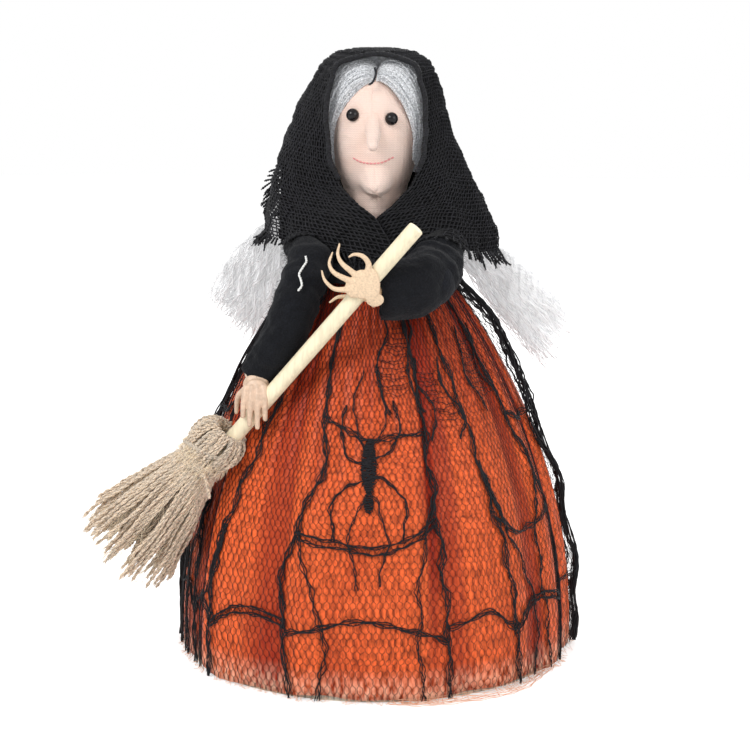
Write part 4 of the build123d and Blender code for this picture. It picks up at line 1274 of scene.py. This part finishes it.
class PUPPET_OT_broom(bpy.types.Operator):
    """Make the jute brush: looped strands, wound binding and frayed ends"""

    bl_idname = "puppet.broom"
    bl_label = "Jute brush"

    def execute(self, context):
        random = np.random.default_rng(17)
        jute = yarn_finish("jute_twine", colours().jute, shaded(colours().jute, 0.42), size_mm=0.8)
        pale = thread_finish("jute_fibre", rgb(colours().jute, 1.35), roughness=0.8)
        count = sizes().jute_strands
        outer = self.strands(random, count, out=1.0, tight=0.82)
        inner = self.strands(random, count, out=0.74, tight=0.82)
        brush = Shape.join([plied(outer, ply_radius=0.4, lay=7.0), plied(inner, ply_radius=0.38, lay=7.0)])
        core = self.strands(random, count, out=0.45, tight=0.7)
        heart = plied(core, ply_radius=0.55, lay=3.8)
        loops = plied(self.loops(random, count), ply_radius=0.42, lay=4.4, taper=False)
        turn = np.linspace(0, 5.4 * FULL_TURN, 320)
        climb = np.linspace(-2.0, 2.0, 320) + 0.9 * np.sin(turn + 1)
        winding = about_stick(climb, 8.6 + 0.2 * np.sin(turn * 3.3), turn)
        hang = np.array([(0, 0, 0), (1.5, -1.6, 1.0), (3.0, -2.2, -3.4), (3.6, -2.0, -8.0)])
        tail = smooth_path(winding[-1] + hang, 26)
        crossing = np.linspace(0.6, 0.6 + 2.2 * FULL_TURN, 200)
        slanted = about_stick(-4.5 + 4.6 * np.cos(crossing + 0.7), 9.7 + 0.3 * np.cos(2 * crossing), crossing)
        twine = [
            plied([winding], ply_radius=0.46, lay=2.6), plied([slanted], ply_radius=0.5, lay=3.2),
            plied([tail], ply_radius=0.42, lay=2.6),
        ]
        for name, shape, finish, node in (
            ("brush_strands", brush, jute, "brush_fan"),
            ("brush_heart", heart, jute, "brush_core"),
            ("brush_loops", loops, jute, "brush_cap"),
            ("brush_binding_twine", Shape.join(twine), jute, "brush_binding"),
            ("brush_fibres", self.hairs(random), pale, None),
        ):
            dress(shape.piece(name, finish), "broom", node)
        return {"FINISHED"}

    def strands(self, random, count, out, tight):
        """Strands from the binding to the tips, spreading and waving."""
        turn = uneven_turns(random, count)
        t = np.linspace(0, 1, 34)[None, :]
        length = (49.5 - 2.5 * (1 - out)) * random.uniform(0.80, 1.03, count)[:, None]
        reach = 20.5 * out * random.uniform(0.86, 1.03, count)[:, None]
        bound = 7.3 * out
        radius = bound * tight / 0.82 + (reach - bound) * (0.55 * np.sin(t * math.pi / 2) + 0.45 * t**1.5)
        swing = random.uniform(0.02, 0.07, count)[:, None]
        wave = swing * np.sin(t * random.uniform(5, 11, count)[:, None] + turn * 7)
        along = -2.0 + (length + 2.0) * t
        clumps = 10
        clump = np.round(turn * clumps / FULL_TURN) * FULL_TURN / clumps
        turn = turn + 0.42 * (clump - turn) * t * out
        radius = radius + 0.5 * np.sin(along / 3.4 + turn * 5) * t
        return about_stick(along, radius, turn + wave * t + 0.05 * out)

    def loops(self, random, count):
        """The strands' folded tops, bulging over the binding and turning in to the stick."""
        turn = uneven_turns(random, count)
        knots = [
            (-14.5, 3.8, 0), (-16.8, 5.8, 0), (-14.5, 9.0, 0), (-8.5, 10.0, 0), (-3.4, 8.6, 0), (1.0, 7.9, 0)
        ]
        profile, stray = smooth_path(knots, 26), np.linspace(1, 0, 26)
        along = profile[:, 0][None] + random.normal(0, 0.5, count)[:, None] * stray
        radius = np.maximum(profile[:, 1][None] + random.normal(0, 0.35, count)[:, None], 3.7)
        return about_stick(along, radius, turn + random.normal(0, 0.22, count)[:, None] * stray)

    def hairs(self, random):
        """Fine loose fibres all over the brush and at its tips."""
        count = 1900
        along = random.uniform(-14, 46, count)[:, None]
        radius = np.interp(along, [-14, -8, 0, 8, 46], [7.5, 10, 8.6, 10.5, 18])
        turn = random.uniform(0, FULL_TURN, count)[:, None]
        t = np.linspace(0, 1, 6)[None, :]
        length = random.uniform(2.0, 6.5, count)[:, None]
        drift = random.normal(0, 0.14, count)[:, None]
        along, radius = np.minimum(along + length * t, 49.5), radius + length * 0.22 * t**2 - 0.3
        return tubes(about_stick(along, radius, turn + drift * t), radii=0.09, sides=3, caps=False)


# ---------------------------------------------------------------- scarf
# Outline of the scarf by height: half width right and left of the head, depth in front and behind.
scarf_levels = np.array([
    (237.3, 0.0, 0.0, 0.0, 0.0), (237.0, 8.0, 8.0, 5.5, 10.0), (235.8, 15.0, 15.5, 8.8, 16.5),
    (232.5, 19.6, 20.6, 11.6, 21.0), (227, 23.0, 23.9, 14.8, 23.5), (217, 29.0, 26.4, 16.8, 24.5),
    (207, 33.5, 29.0, 16.8, 24.5), (197, 37.0, 33.0, 17.2, 25.5), (187, 40.0, 37.0, 18.2, 26.5),
    (179, 41.8, 41.0, 19.6, 28.0), (173, 43.6, 44.6, 21.4, 29.0), (165, 43.6, 46.2, 26.5, 29.8),
    (155, 42.5, 46.0, 30.0, 30.5),
])
# Where its two front edges lie by height: x of the right edge and of the left one.
face_edges = np.array([
    (238, 1.5, 1.5), (235.4, 1.5, 1.5), (234.6, -5.5, 8.5), (232.8, -10.3, 13.2), (228.5, -13.9, 17.0),
    (218, -16.4, 19.8), (206, -16.6, 20.3), (195, -15.2, 19.3), (185, -10.6, 15.0), (178, -3.6, 8.2),
    (173.6, 2.4, 2.6), (165, 9.0, -4.0), (155, 14.0, -8.0),
])
# Its lower edge, all round: angle in degrees with the face at -90, and height.
hem_levels = np.array([
    (-210, 163.0), (-180, 168.0), (-150, 164.5), (-120, 161.5), (-90, 157.0), (-60, 162.5),
    (-30, 160.5), (0, 159.5), (30, 159.0), (90, 155.5), (150, 163.0), (180, 168.0),
])


def by_height(table, z, column):
    """A table's column at the heights z; its first column falls from the crown to the hem."""
    return np.interp(-np.asarray(z), -table[:, 0], table[:, column])


def scarf_cloth(across, down):
    """A point of the cloth.

    Across runs from its right front edge round the back to the left one, down from the crown.
    """
    across, down = np.broadcast_arrays(across, down)
    rough_turn = -90 - 360 * across
    hem = np.interp(np.mod(rough_turn + 210, 360) - 210, hem_levels[:, 0], hem_levels[:, 1])
    levels = scarf_levels[:, 0]
    fall = np.concatenate([[0], np.cumsum(np.hypot(np.diff(scarf_levels[:, 1:].mean(1)), np.diff(levels)))])
    whole = np.interp(-hem, -levels, fall)
    z = np.interp(down * whole, fall, levels)
    wide_right, wide_left, front, rear = (by_height(scarf_levels, z, column) for column in (1, 2, 3, 4))
    right_edge, left_edge = by_height(face_edges, z, 1), by_height(face_edges, z, 2)
    first = np.arcsin(np.clip(-right_edge / np.where(right_edge < 0, wide_right, wide_left).clip(1), -1, 1))
    last = np.arcsin(np.clip(left_edge / np.where(left_edge > 0, wide_left, wide_right).clip(1), -1, 1))
    turn = -math.pi / 2 - (first + (FULL_TURN - first - last) * across)
    x = np.cos(turn) * np.where(np.cos(turn) < 0, wide_right, wide_left)
    y = np.sin(turn) * np.where(np.sin(turn) < 0, front, rear)
    points = np.stack([x, y, z], axis=-1)
    return points + scarf_folds(points, turn, across)


def scarf_folds(points, turn, across):
    """Drapes and ripples of the cloth, the overlap below the chin and the standing rim about the face."""
    z = points[..., 2]
    out = unit(np.stack([points[..., 0] / 38, points[..., 1] / 24, np.full_like(z, 0.25)], axis=-1))
    low = smooth_step(232, 168, z)
    front = np.exp(-(((np.minimum(across, 1 - across)) / 0.16) ** 2))
    sag = 1.5 * np.sin(z / 4.6 + 1.2 * np.abs(points[..., 0]) / 9) * front * smooth_step(198, 176, z)
    drape = low * (1.0 * np.sin(7 * turn + 0.5 + z / 24) + 0.6 * np.sin(13 * turn + z / 17 + 1))
    flutter = smooth_step(178, 160, z) * (1.3 * np.sin(11 * turn + 1) + 0.7 * np.sin(19 * turn))
    small = 0.35 * ripple(points, scale=9, seed=61) * smooth_step(237, 228, z)
    over = np.where(across < 0.5, 1, -1) * 0.8 * smooth_step(184, 172, z) * front
    rim = 0.9 * np.exp(-((np.minimum(across, 1 - across) / 0.018) ** 2))
    rim = rim * smooth_step(176, 190, z) * smooth_step(236, 230, z)
    height = sag + drape * (1 - 0.6 * front) + flutter * (1 - 0.7 * front) + small + over + rim
    return out * height[..., None]


def clear_of_wearer(points):
    """Cloth lifted off the head, the hair, the bodice and both arms."""
    scaled = (points - head_centre) / (head_half + 3.4)
    inside = np.linalg.norm(scaled, axis=-1, keepdims=True)
    points = np.where(inside < 1, head_centre + (points - head_centre) / np.maximum(inside, 0.3), points)
    runs = []
    for line in arm_lines.values():
        for start, end in zip(line, line[1:5]):
            runs.append((np.array(start[:3]), np.array(end[:3]), max(start[3:]), max(end[3:])))
    runs.append((np.array([0, 0, 150.0]), np.array([0, 0, 166.0]), bodice_radius, bodice_radius))
    return push_clear(points, runs, gap=1.0)


def scarf_at(across, down):
    """The cloth where it really lies."""
    return clear_of_wearer(scarf_cloth(across, down))


def scarf_threads(columns, rows):
    """Woven yarns: lengthways ones from the crown to the hem, and crossways ones over and under them."""
    column = np.arange(columns)
    across = (column + 0.5) / columns
    down = np.linspace(0.0, 1.0, rows * 2 + 1)
    start = np.where(column % 2 == 0, 0.16, np.where(column % 4 == 1, 0.28, 0.34))
    start = np.where(column % 8 == 0, 0.05, start)
    grid_down = start[:, None] + (1.0 - start[:, None]) * down[None]
    stray = uneven(across[:, None] * 40 + 0 * grid_down, grid_down * 5) * 0.32 / columns
    grid_across = np.clip(across[:, None] + stray, 0, 1)
    over = np.cos(grid_down * rows * math.pi + column[:, None] * math.pi)
    lengthways = laid_yarns(grid_across, grid_down, over)
    across_fine = np.linspace(0, 1, columns * 2 + 1)
    down_rows = (np.arange(rows) + 0.5) / rows
    down_rows = down_rows[down_rows > 0.03]
    grid_across = np.broadcast_to(across_fine[None], (len(down_rows), len(across_fine)))
    stray = uneven(grid_across * 9, down_rows[:, None] * 35 + 0 * grid_across) * 0.32 / rows
    grid_down = np.clip(down_rows[:, None] + stray, 0, 1)
    over = -np.cos(grid_down * rows * math.pi + (grid_across * columns - 0.5) * math.pi)
    return Shape.join([lengthways, laid_yarns(grid_across, grid_down, over)])


def laid_yarns(across, down, over):
    """Yarns laid on the cloth, rising and dipping as they pass over and under."""
    rise = (0.25 * over + yarn_lift)[..., None]
    paths = scarf_at(across, down) + outward_of(across, down) * rise
    return tubes(paths, radii=sizes().scarf_yarn / MM, sides=3)


def uneven(a, b):
    """Smooth wandering between -1 and 1 over two running numbers."""
    return 0.6 * np.sin(a * 2.7 + 2.1 * np.sin(b * 1.3)) + 0.4 * np.sin(b * 3.9 + 1.7 * np.sin(a * 1.9))


def outward_of(across, down):
    """Directions out of the cloth."""
    step = 0.004
    right = scarf_at(np.clip(across + step, 0, 1), down) - scarf_at(np.clip(across - step, 0, 1), down)
    below = scarf_at(across, np.clip(down + step, 0, 1)) - scarf_at(across, np.clip(down - step, 0, 1))
    out = unit(np.cross(right, below))
    points = scarf_at(across, down)
    away = np.stack([points[..., 0], points[..., 1], 0.5 * (points[..., 2] - 185)], axis=-1)
    return out * np.where((out * away).sum(-1, keepdims=True) < 0, -1, 1)


def scarf_fringe():
    """Loose ends of yarn all along the lower edge, longer at both corners, and out at the right side."""
    random = np.random.default_rng(71)
    count = 190
    across = np.clip((np.arange(count) + random.uniform(-0.3, 0.3, count)) / count, 0.002, 0.998)
    edge = scarf_at(across, np.ones(count))
    above = scarf_at(across, np.full(count, 0.985))
    fall = unit(edge - above)
    turn = np.degrees(np.arctan2(edge[:, 1], edge[:, 0]))
    right_corner = np.exp(-(((np.mod(turn + 360, 360) - 183) / 17) ** 2))
    corner = right_corner + np.exp(-(((turn + 4) / 20) ** 2))
    length = random.uniform(1.6, 3.4, count) + 3.6 * corner * random.uniform(0.6, 1, count)
    out = unit(edge * [1, 1, 0])
    lean = random.normal(0, 0.25, (count, 3))
    t = np.linspace(0, 1, 8)[None, :, None]
    away = 0.35 + 0.5 * corner[:, None, None]
    way = fall[:, None] * t + out[:, None] * away * t * (1 - 0.3 * t) + lean[:, None] * t**2
    paths = edge[:, None] + length[:, None, None] * way + out[:, None] * yarn_lift
    paths = np.concatenate([clear_of_wearer(paths), side_ends(random, t)])
    return plied(paths, ply_radius=0.3, lay=1.9, sides=4)


def side_ends(random, t):
    """Loose ends that stand out at the scarf's right side, most in the middle of the row."""
    count = 24
    root = scarf_at(0.25 + 0.012 * np.sin(np.arange(count) * 2.0), np.linspace(0.70, 0.93, count))
    back, down = random.normal(-0.1, 0.25, count), random.normal(-0.35, 0.3, count)
    reach = unit(np.stack([-np.ones(count), back, down], axis=1)) * random.uniform(3.2, 6.4, (count, 1))
    reach = reach * np.sin(math.pi * np.linspace(0.15, 0.95, count))[:, None]
    return root[:, None] + reach[:, None] * t + np.array([0, 0, -1.2]) * t**2


def rim_threads():
    """The scarf's rolled edge about the face: yarns wound side by side."""
    fall = np.linspace(0, 1, 400)
    heights = scarf_cloth(0.0, fall)[..., 2]
    down = np.interp(np.linspace(188, 235.3, 90), heights[::-1], fall[::-1])
    right, left = scarf_at(0.0, down), scarf_at(1.0, down)[::-1]
    path = smooth_path(np.vstack([right[::6], left[::6]]), 260)
    return plied([path + [0, -0.2, 0]], ply_radius=0.62, lay=3.0, sides=5, plies=3)


# The scarf is cut where it changes from one moving part to the next.
front_start, front_end = np.array([0.0, -14.0, 178.0]), np.array([0.0, -26.0, 167.2])
nod_start = np.array([0.0, -20.0, 184.0])
nod_way = unit(np.array([0.0, 0.267, 1.0]))
nod_end = nod_start + 14 * nod_way
turn_end = nod_end + 16 * nod_way


def scarf_part(points):
    """0 in front below the chin, 1 about the shoulders, 2 about the head."""
    in_front = (points - front_start) @ (front_end - front_start) > 0
    above = (points - nod_end) @ nod_way > 0
    return np.where(above, 2, np.where(in_front & (points[..., 2] < 188), 0, 1))


def on_part(part):
    """A test for places on one part of the scarf: 0 the front, 1 the cape, 2 the hood."""
    return lambda middle: scarf_part(middle) == part


def off_open_side(middle):
    """Whether places are off the low open side, where the yarns have no cloth behind them."""
    x, y, z = middle.T
    return ~((x < -36) & (z < 197) & (y < 12))


class PUPPET_OT_scarf(bpy.types.Operator):
    """Make the open-weave headscarf with its fringe"""

    bl_idname = "puppet.scarf"
    bl_label = "Headscarf"

    def execute(self, context):
        # The sheet behind the yarns is darker than they are: painted shade in the weave's holes.
        yarn, shade_backing = scarf_finish(), felt_finish("scarf_shade_backing", shaded(colours().scarf, 0.25))
        pitch, girth, fall = sizes().scarf_pitch / MM, 210, 92
        rows, columns = 120, 300
        across, down = np.meshgrid(np.linspace(0, 1, columns), np.linspace(0, 1, rows))
        cloth = Shape(scarf_at(across, down), grid_quads(rows, columns))
        yarns = scarf_threads(int(girth / pitch), int(fall / pitch))
        woven = Shape.join([yarns, scarf_fringe(), rim_threads()])
        backing_cloth = cloth.where(off_open_side)
        parts = (
            ("scarf_front", (0.05, 0.04), "felt_sleeve_left", "torso", "right_arm", front_start, front_end),
            ("scarf_cape", (0.10, 0.045), "bodice", "torso", "neck", nod_start, nod_end),
            ("scarf_hood", (0.10, 0.07), "head_jersey", "neck", "head", nod_end, turn_end),
        )
        for part, (name, flat, under, below, above, start, end) in enumerate(parts):
            sheet = backing_cloth.where(on_part(part)).piece(f"{name}_cloth", shade_backing)
            threads = woven.where(on_part(part)).piece(f"{name}_yarns", yarn)
            thicken(sheet, 0.35)
            for piece in (sheet, threads):
                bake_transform(piece)
            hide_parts(name)
        return {"FINISHED"}


def scarf_finish():
    """Black hairy cotton yarn whose fibres vary in tone, with grey painted highlights among them."""
    finish = Finish("black_scrim_yarn", Roughness=0.7, Sheen_Weight=0.03, Specular_IOR_Level=0.3)
    fibres = finish.noise(0.9, detail=4.0)
    # Painted highlights on the yarn, partly its fibres' own tone, spread by a fine noise.
    dark, light = rgb(colours().scarf, 0.4), rgb(colours().scarf, 2.6)
    finish.colour(finish.mix(finish.span(fibres, 0.40, 0.72), dark, light))
    finish.bump(fibres, strength=0.6, depth_mm=0.15)
    return finish.material


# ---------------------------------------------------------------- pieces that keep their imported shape
class PUPPET_OT_inner_parts(bpy.types.Operator):
    """Finish the cone, hoop, pins, discs, wires, eyes and stick"""

    bl_idname = "puppet.inner_parts"
    bl_label = "Inner parts"

    def execute(self, context):
        hair, black = colours().hair, (0.004, 0.003, 0.004, 1)
        bead = Finish("black_bead", Base_Color=black, Roughness=0.16, Specular_IOR_Level=0.3)
        bead.bump(bead.noise(1.6, detail=2.0), strength=0.12, depth_mm=0.1)
        finishes = {
            "petticoat_cone": plain_finish("buckram", (0.70, 0.64, 0.52), roughness=0.85, grain_mm=0.6),
            "hem_hoop": wood_finish("cane", (0.55, 0.38, 0.18), along=(1, 1, 0.3)),
            "waist_ring": plain_finish("grey_board", (0.36, 0.33, 0.28), roughness=0.9, grain_mm=0.8),
            "shoulder_yoke": wood_finish("turned_beech", (0.62, 0.42, 0.22), along=(0.3, 1, 1)),
            "neck_ring": plain_finish("fibre_ring", (0.13, 0.065, 0.035), roughness=0.8, grain_mm=0.5),
            "neck_tube": plain_finish("card_tube", (0.45, 0.36, 0.25), roughness=0.9, grain_mm=0.8),
            "hair_crown": yarn_finish("crown_yarn", hair, shaded(hair, 0.45), size_mm=1.0),
            "broom_stick": wood_finish("planed_stick", colours().stick, along=(1, 1, 0.12), gloss=0.42),
        }
        for side in ("right", "left"):
            finishes[f"eye_{side}"] = bead.material
            finishes[f"shoulder_pin_{side}"] = finishes[f"arm_wire_{side}"] = self.steel()
            finishes[f"body_disc_{side}"] = finishes[f"arm_disc_{side}"] = finishes["neck_ring"]
            finishes[f"arm_padding_{side}"] = felt_finish("black_wadding", shaded(colours().felt, 1.6))
        for node, material in finishes.items():
            mesh = frame["nodes"][node].data
            mesh.materials.clear()
            mesh.materials.append(material)
        self.felt_bodice()
        self.waist_cord()
        return {"FINISHED"}

    def waist_cord(self):
        """The cord that ties the skirt, wound four times round the waist."""
        turn = np.linspace(0, 4 * FULL_TURN, 640)
        radius = waist_radius + 1.45 + 0.1 * np.sin(turn * 5.3)
        wraps = round_skirt(radius, turn, waist_top - 2.2 + 0.32 * turn / FULL_TURN)
        black = thread_finish("waist_thread", (0.01, 0.01, 0.012), roughness=0.7)
        cord = plied([wraps], ply_radius=0.26, lay=2.0)
        dress(cord.piece("waist_cord", black), "torso", "waist_tie")

    def felt_bodice(self):
        """The felt bodice, spreading over the skirt's gathered waist to a cut edge."""
        rows, around = 48, 240
        profile = smooth_path([
            (bodice_radius - 4.4, bodice_top + 2.6, 0), (bodice_radius - 1.1, bodice_top + 2.6, 0),
            (bodice_radius + 0.5, bodice_top - 1.2, 0), (bodice_radius + 1.2, bodice_top - 7.5, 0),
            (bodice_radius + 4.5, waist_top + 3.2, 0), (waist_radius + 1.2, waist_top + 1.9, 0),
            (waist_radius + 2.7, waist_top - 0.6, 0), (waist_radius + 3.3, waist_top - 4.2, 0),
        ], rows)
        turn, radius = np.meshgrid(round_turn(around), profile[:, 0])
        low = np.linspace(0, 1, rows)[:, None] ** 2
        radius = radius + low * (0.5 * np.sin(11 * turn + 1) + 0.3 * np.sin(23 * turn))
        z = np.broadcast_to(profile[:, 1:2], turn.shape) + low * 0.4 * np.sin(9 * turn)
        felt = Shape(round_skirt(radius, turn, z), grid_quads(rows, around, closed=True))
        piece = felt.piece("felt_bodice", felt_finish("bodice_felt", colours().felt))
        thicken(piece, 1.0)
        dress(piece, "torso", "bodice")

    def steel(self):
        """Dull annealed wire."""
        return plain_finish("annealed_wire", (0.42, 0.42, 0.43), roughness=0.4, metallic=0.9, grain_mm=0.5)


class PUPPET_OT_loose_thread(bpy.types.Operator):
    """Make the white twisted thread that hangs over the right sleeve"""

    bl_idname = "puppet.loose_thread"
    bl_label = "Loose white thread"

    def execute(self, context):
        line = [
            (-22.0, -39.0, 160.6), (-21.4, -41.2, 158.8), (-22.4, -43.2, 157.0), (-23.6, -45.0, 154.6),
            (-22.8, -46.6, 152.8), (-22.2, -48.2, 150.6), (-23.4, -49.6, 148.8),
        ]
        cotton = thread_finish("white_cotton", (0.86, 0.86, 0.84), roughness=0.7)
        thread = plied([smooth_path(line, 80)], ply_radius=0.24, lay=2.2, sides=6)
        dress(thread.piece("loose_thread", cotton), "right_arm")
        return {"FINISHED"}


# ---------------------------------------------------------------- stage
class PUPPET_OT_stage(bpy.types.Operator):
    """Make the camera, the soft lamps, the pale floor and the white surroundings"""

    bl_idname = "puppet.stage"
    bl_label = "Stage"

    def execute(self, context):
        scene = context.scene
        look_at, distance = np.array([0.0, 0.0, 109.0]), 700.0
        turn, rise = math.radians(6.0), math.radians(10.0)
        ahead = np.array([-math.sin(turn) * math.cos(rise), math.cos(turn) * math.cos(rise), -math.sin(rise)])
        camera = bpy.data.objects.new("camera", bpy.data.cameras.new("camera"))
        camera.location = Vector((look_at - distance * ahead) * MM)
        camera.rotation_euler = Vector(ahead).to_track_quat("-Z", "Y").to_euler()
        camera.data.lens = 84.0
        camera.data.sensor_width = 36.0
        scene.collection.objects.link(camera)
        scene.camera = camera
        scene.view_settings.view_transform = "Standard"
        for name, place, size, watts in (
            ("key_lamp", (-0.75, -1.05, 1.15), 0.7, 15.0),
            ("fill_lamp", (1.15, -0.8, 0.7), 0.9, 7.0),
            ("rim_lamp", (0.3, 1.1, 0.95), 0.7, 8.0),
        ):
            lamp = bpy.data.objects.new(name, bpy.data.lights.new(name, "AREA"))
            lamp.data.size = size
            lamp.data.energy = watts
            lamp.location = place
            lamp.rotation_euler = (Vector((0, 0, 0.1)) - Vector(place)).to_track_quat("-Z", "Y").to_euler()
            scene.collection.objects.link(lamp)
        world = bpy.data.worlds.new("white_room")
        world.use_nodes = True
        scene.world = world
        background = world.node_tree.nodes["Background"]
        background.inputs["Color"].default_value = (1, 1, 1, 1)
        level = self.seen_rays(world.node_tree, otherwise=0.6, seen_level=1.0)
        world.node_tree.links.new(level, background.inputs["Strength"])
        far = 3000
        floor = Shape([[-far, -far, 0], [far, -far, 0], [far, far, 0], [-far, far, 0]], [[0, 1, 2, 3]])
        floor.piece("floor", self.paper())
        return {"FINISHED"}

    def paper(self):
        """White paper: matt, with a faint tooth, and no darker than the room where the camera looks at it."""
        finish = Finish("white_paper", Roughness=0.95, Specular_IOR_Level=0.1)
        tooth = finish.noise(0.6, detail=2.0)
        finish.colour(finish.mix(tooth, (0.84, 0.84, 0.84, 1), (0.88, 0.88, 0.88, 1)))
        finish.shader.inputs["Emission Color"].default_value = (1, 1, 1, 1)
        level = self.seen_rays(finish.material.node_tree, otherwise=0.0, seen_level=0.47)
        finish.links.new(level, finish.shader.inputs["Emission Strength"])
        return finish.material

    def seen_rays(self, tree, otherwise, seen_level):
        """One strength for the camera's, a gloss's and a glass's rays, and another for all other light."""
        path = tree.nodes.new("ShaderNodeLightPath")
        seen = path.outputs["Is Camera Ray"]
        for other in ("Is Glossy Ray", "Is Transmission Ray"):
            both = tree.nodes.new("ShaderNodeMath")
            both.operation = "MAXIMUM"
            tree.links.new(seen, both.inputs[0])
            tree.links.new(path.outputs[other], both.inputs[1])
            seen = both.outputs[0]
        level = tree.nodes.new("ShaderNodeMapRange")
        level.inputs["To Min"].default_value = otherwise
        level.inputs["To Max"].default_value = seen_level
        tree.links.new(seen, level.inputs["Value"])
        return level.outputs[0]


# ---------------------------------------------------------------- sidebar and start
# In the order in which they are called.
OPERATORS = [
    PUPPET_OT_stage, PUPPET_OT_satin_skirt, PUPPET_OT_lace_overskirt, PUPPET_OT_head, PUPPET_OT_front_hair,
    PUPPET_OT_tresses, PUPPET_OT_sleeves, PUPPET_OT_hands, PUPPET_OT_broom, PUPPET_OT_scarf,
    PUPPET_OT_inner_parts, PUPPET_OT_loose_thread,
]


class PUPPET_PT_sidebar(bpy.types.Panel):
    """Lists the pieces and the values that shape them"""

    bl_idname = "PUPPET_PT_sidebar"
    bl_label = "Witch puppet"
    bl_space_type = "VIEW_3D"
    bl_region_type = "UI"
    bl_category = "Puppet"

    def draw(self, context):
        for group in (context.scene.puppet_sizes, context.scene.puppet_colours):
            for name in group.bl_rna.properties.keys():
                if name not in ("rna_type", "name"):
                    self.layout.prop(group, name)
        for operator in OPERATORS:
            self.layout.operator(operator.bl_idname)


CLASSES = [PuppetSizes, PuppetColours, *OPERATORS, PUPPET_PT_sidebar]


def register():
    for cls in CLASSES:
        bpy.utils.register_class(cls)
    bpy.types.Scene.puppet_sizes = PointerProperty(type=PuppetSizes)
    bpy.types.Scene.puppet_colours = PointerProperty(type=PuppetColours)


def unregister():
    del bpy.types.Scene.puppet_sizes
    del bpy.types.Scene.puppet_colours
    for cls in reversed(CLASSES):
        bpy.utils.unregister_class(cls)


def main():
    """Builds the whole puppet."""
    register()
    for operator in OPERATORS:
        group, name = operator.bl_idname.split(".")
        getattr(getattr(bpy.ops, group), name)()


if __name__ == "__main__":
    main()
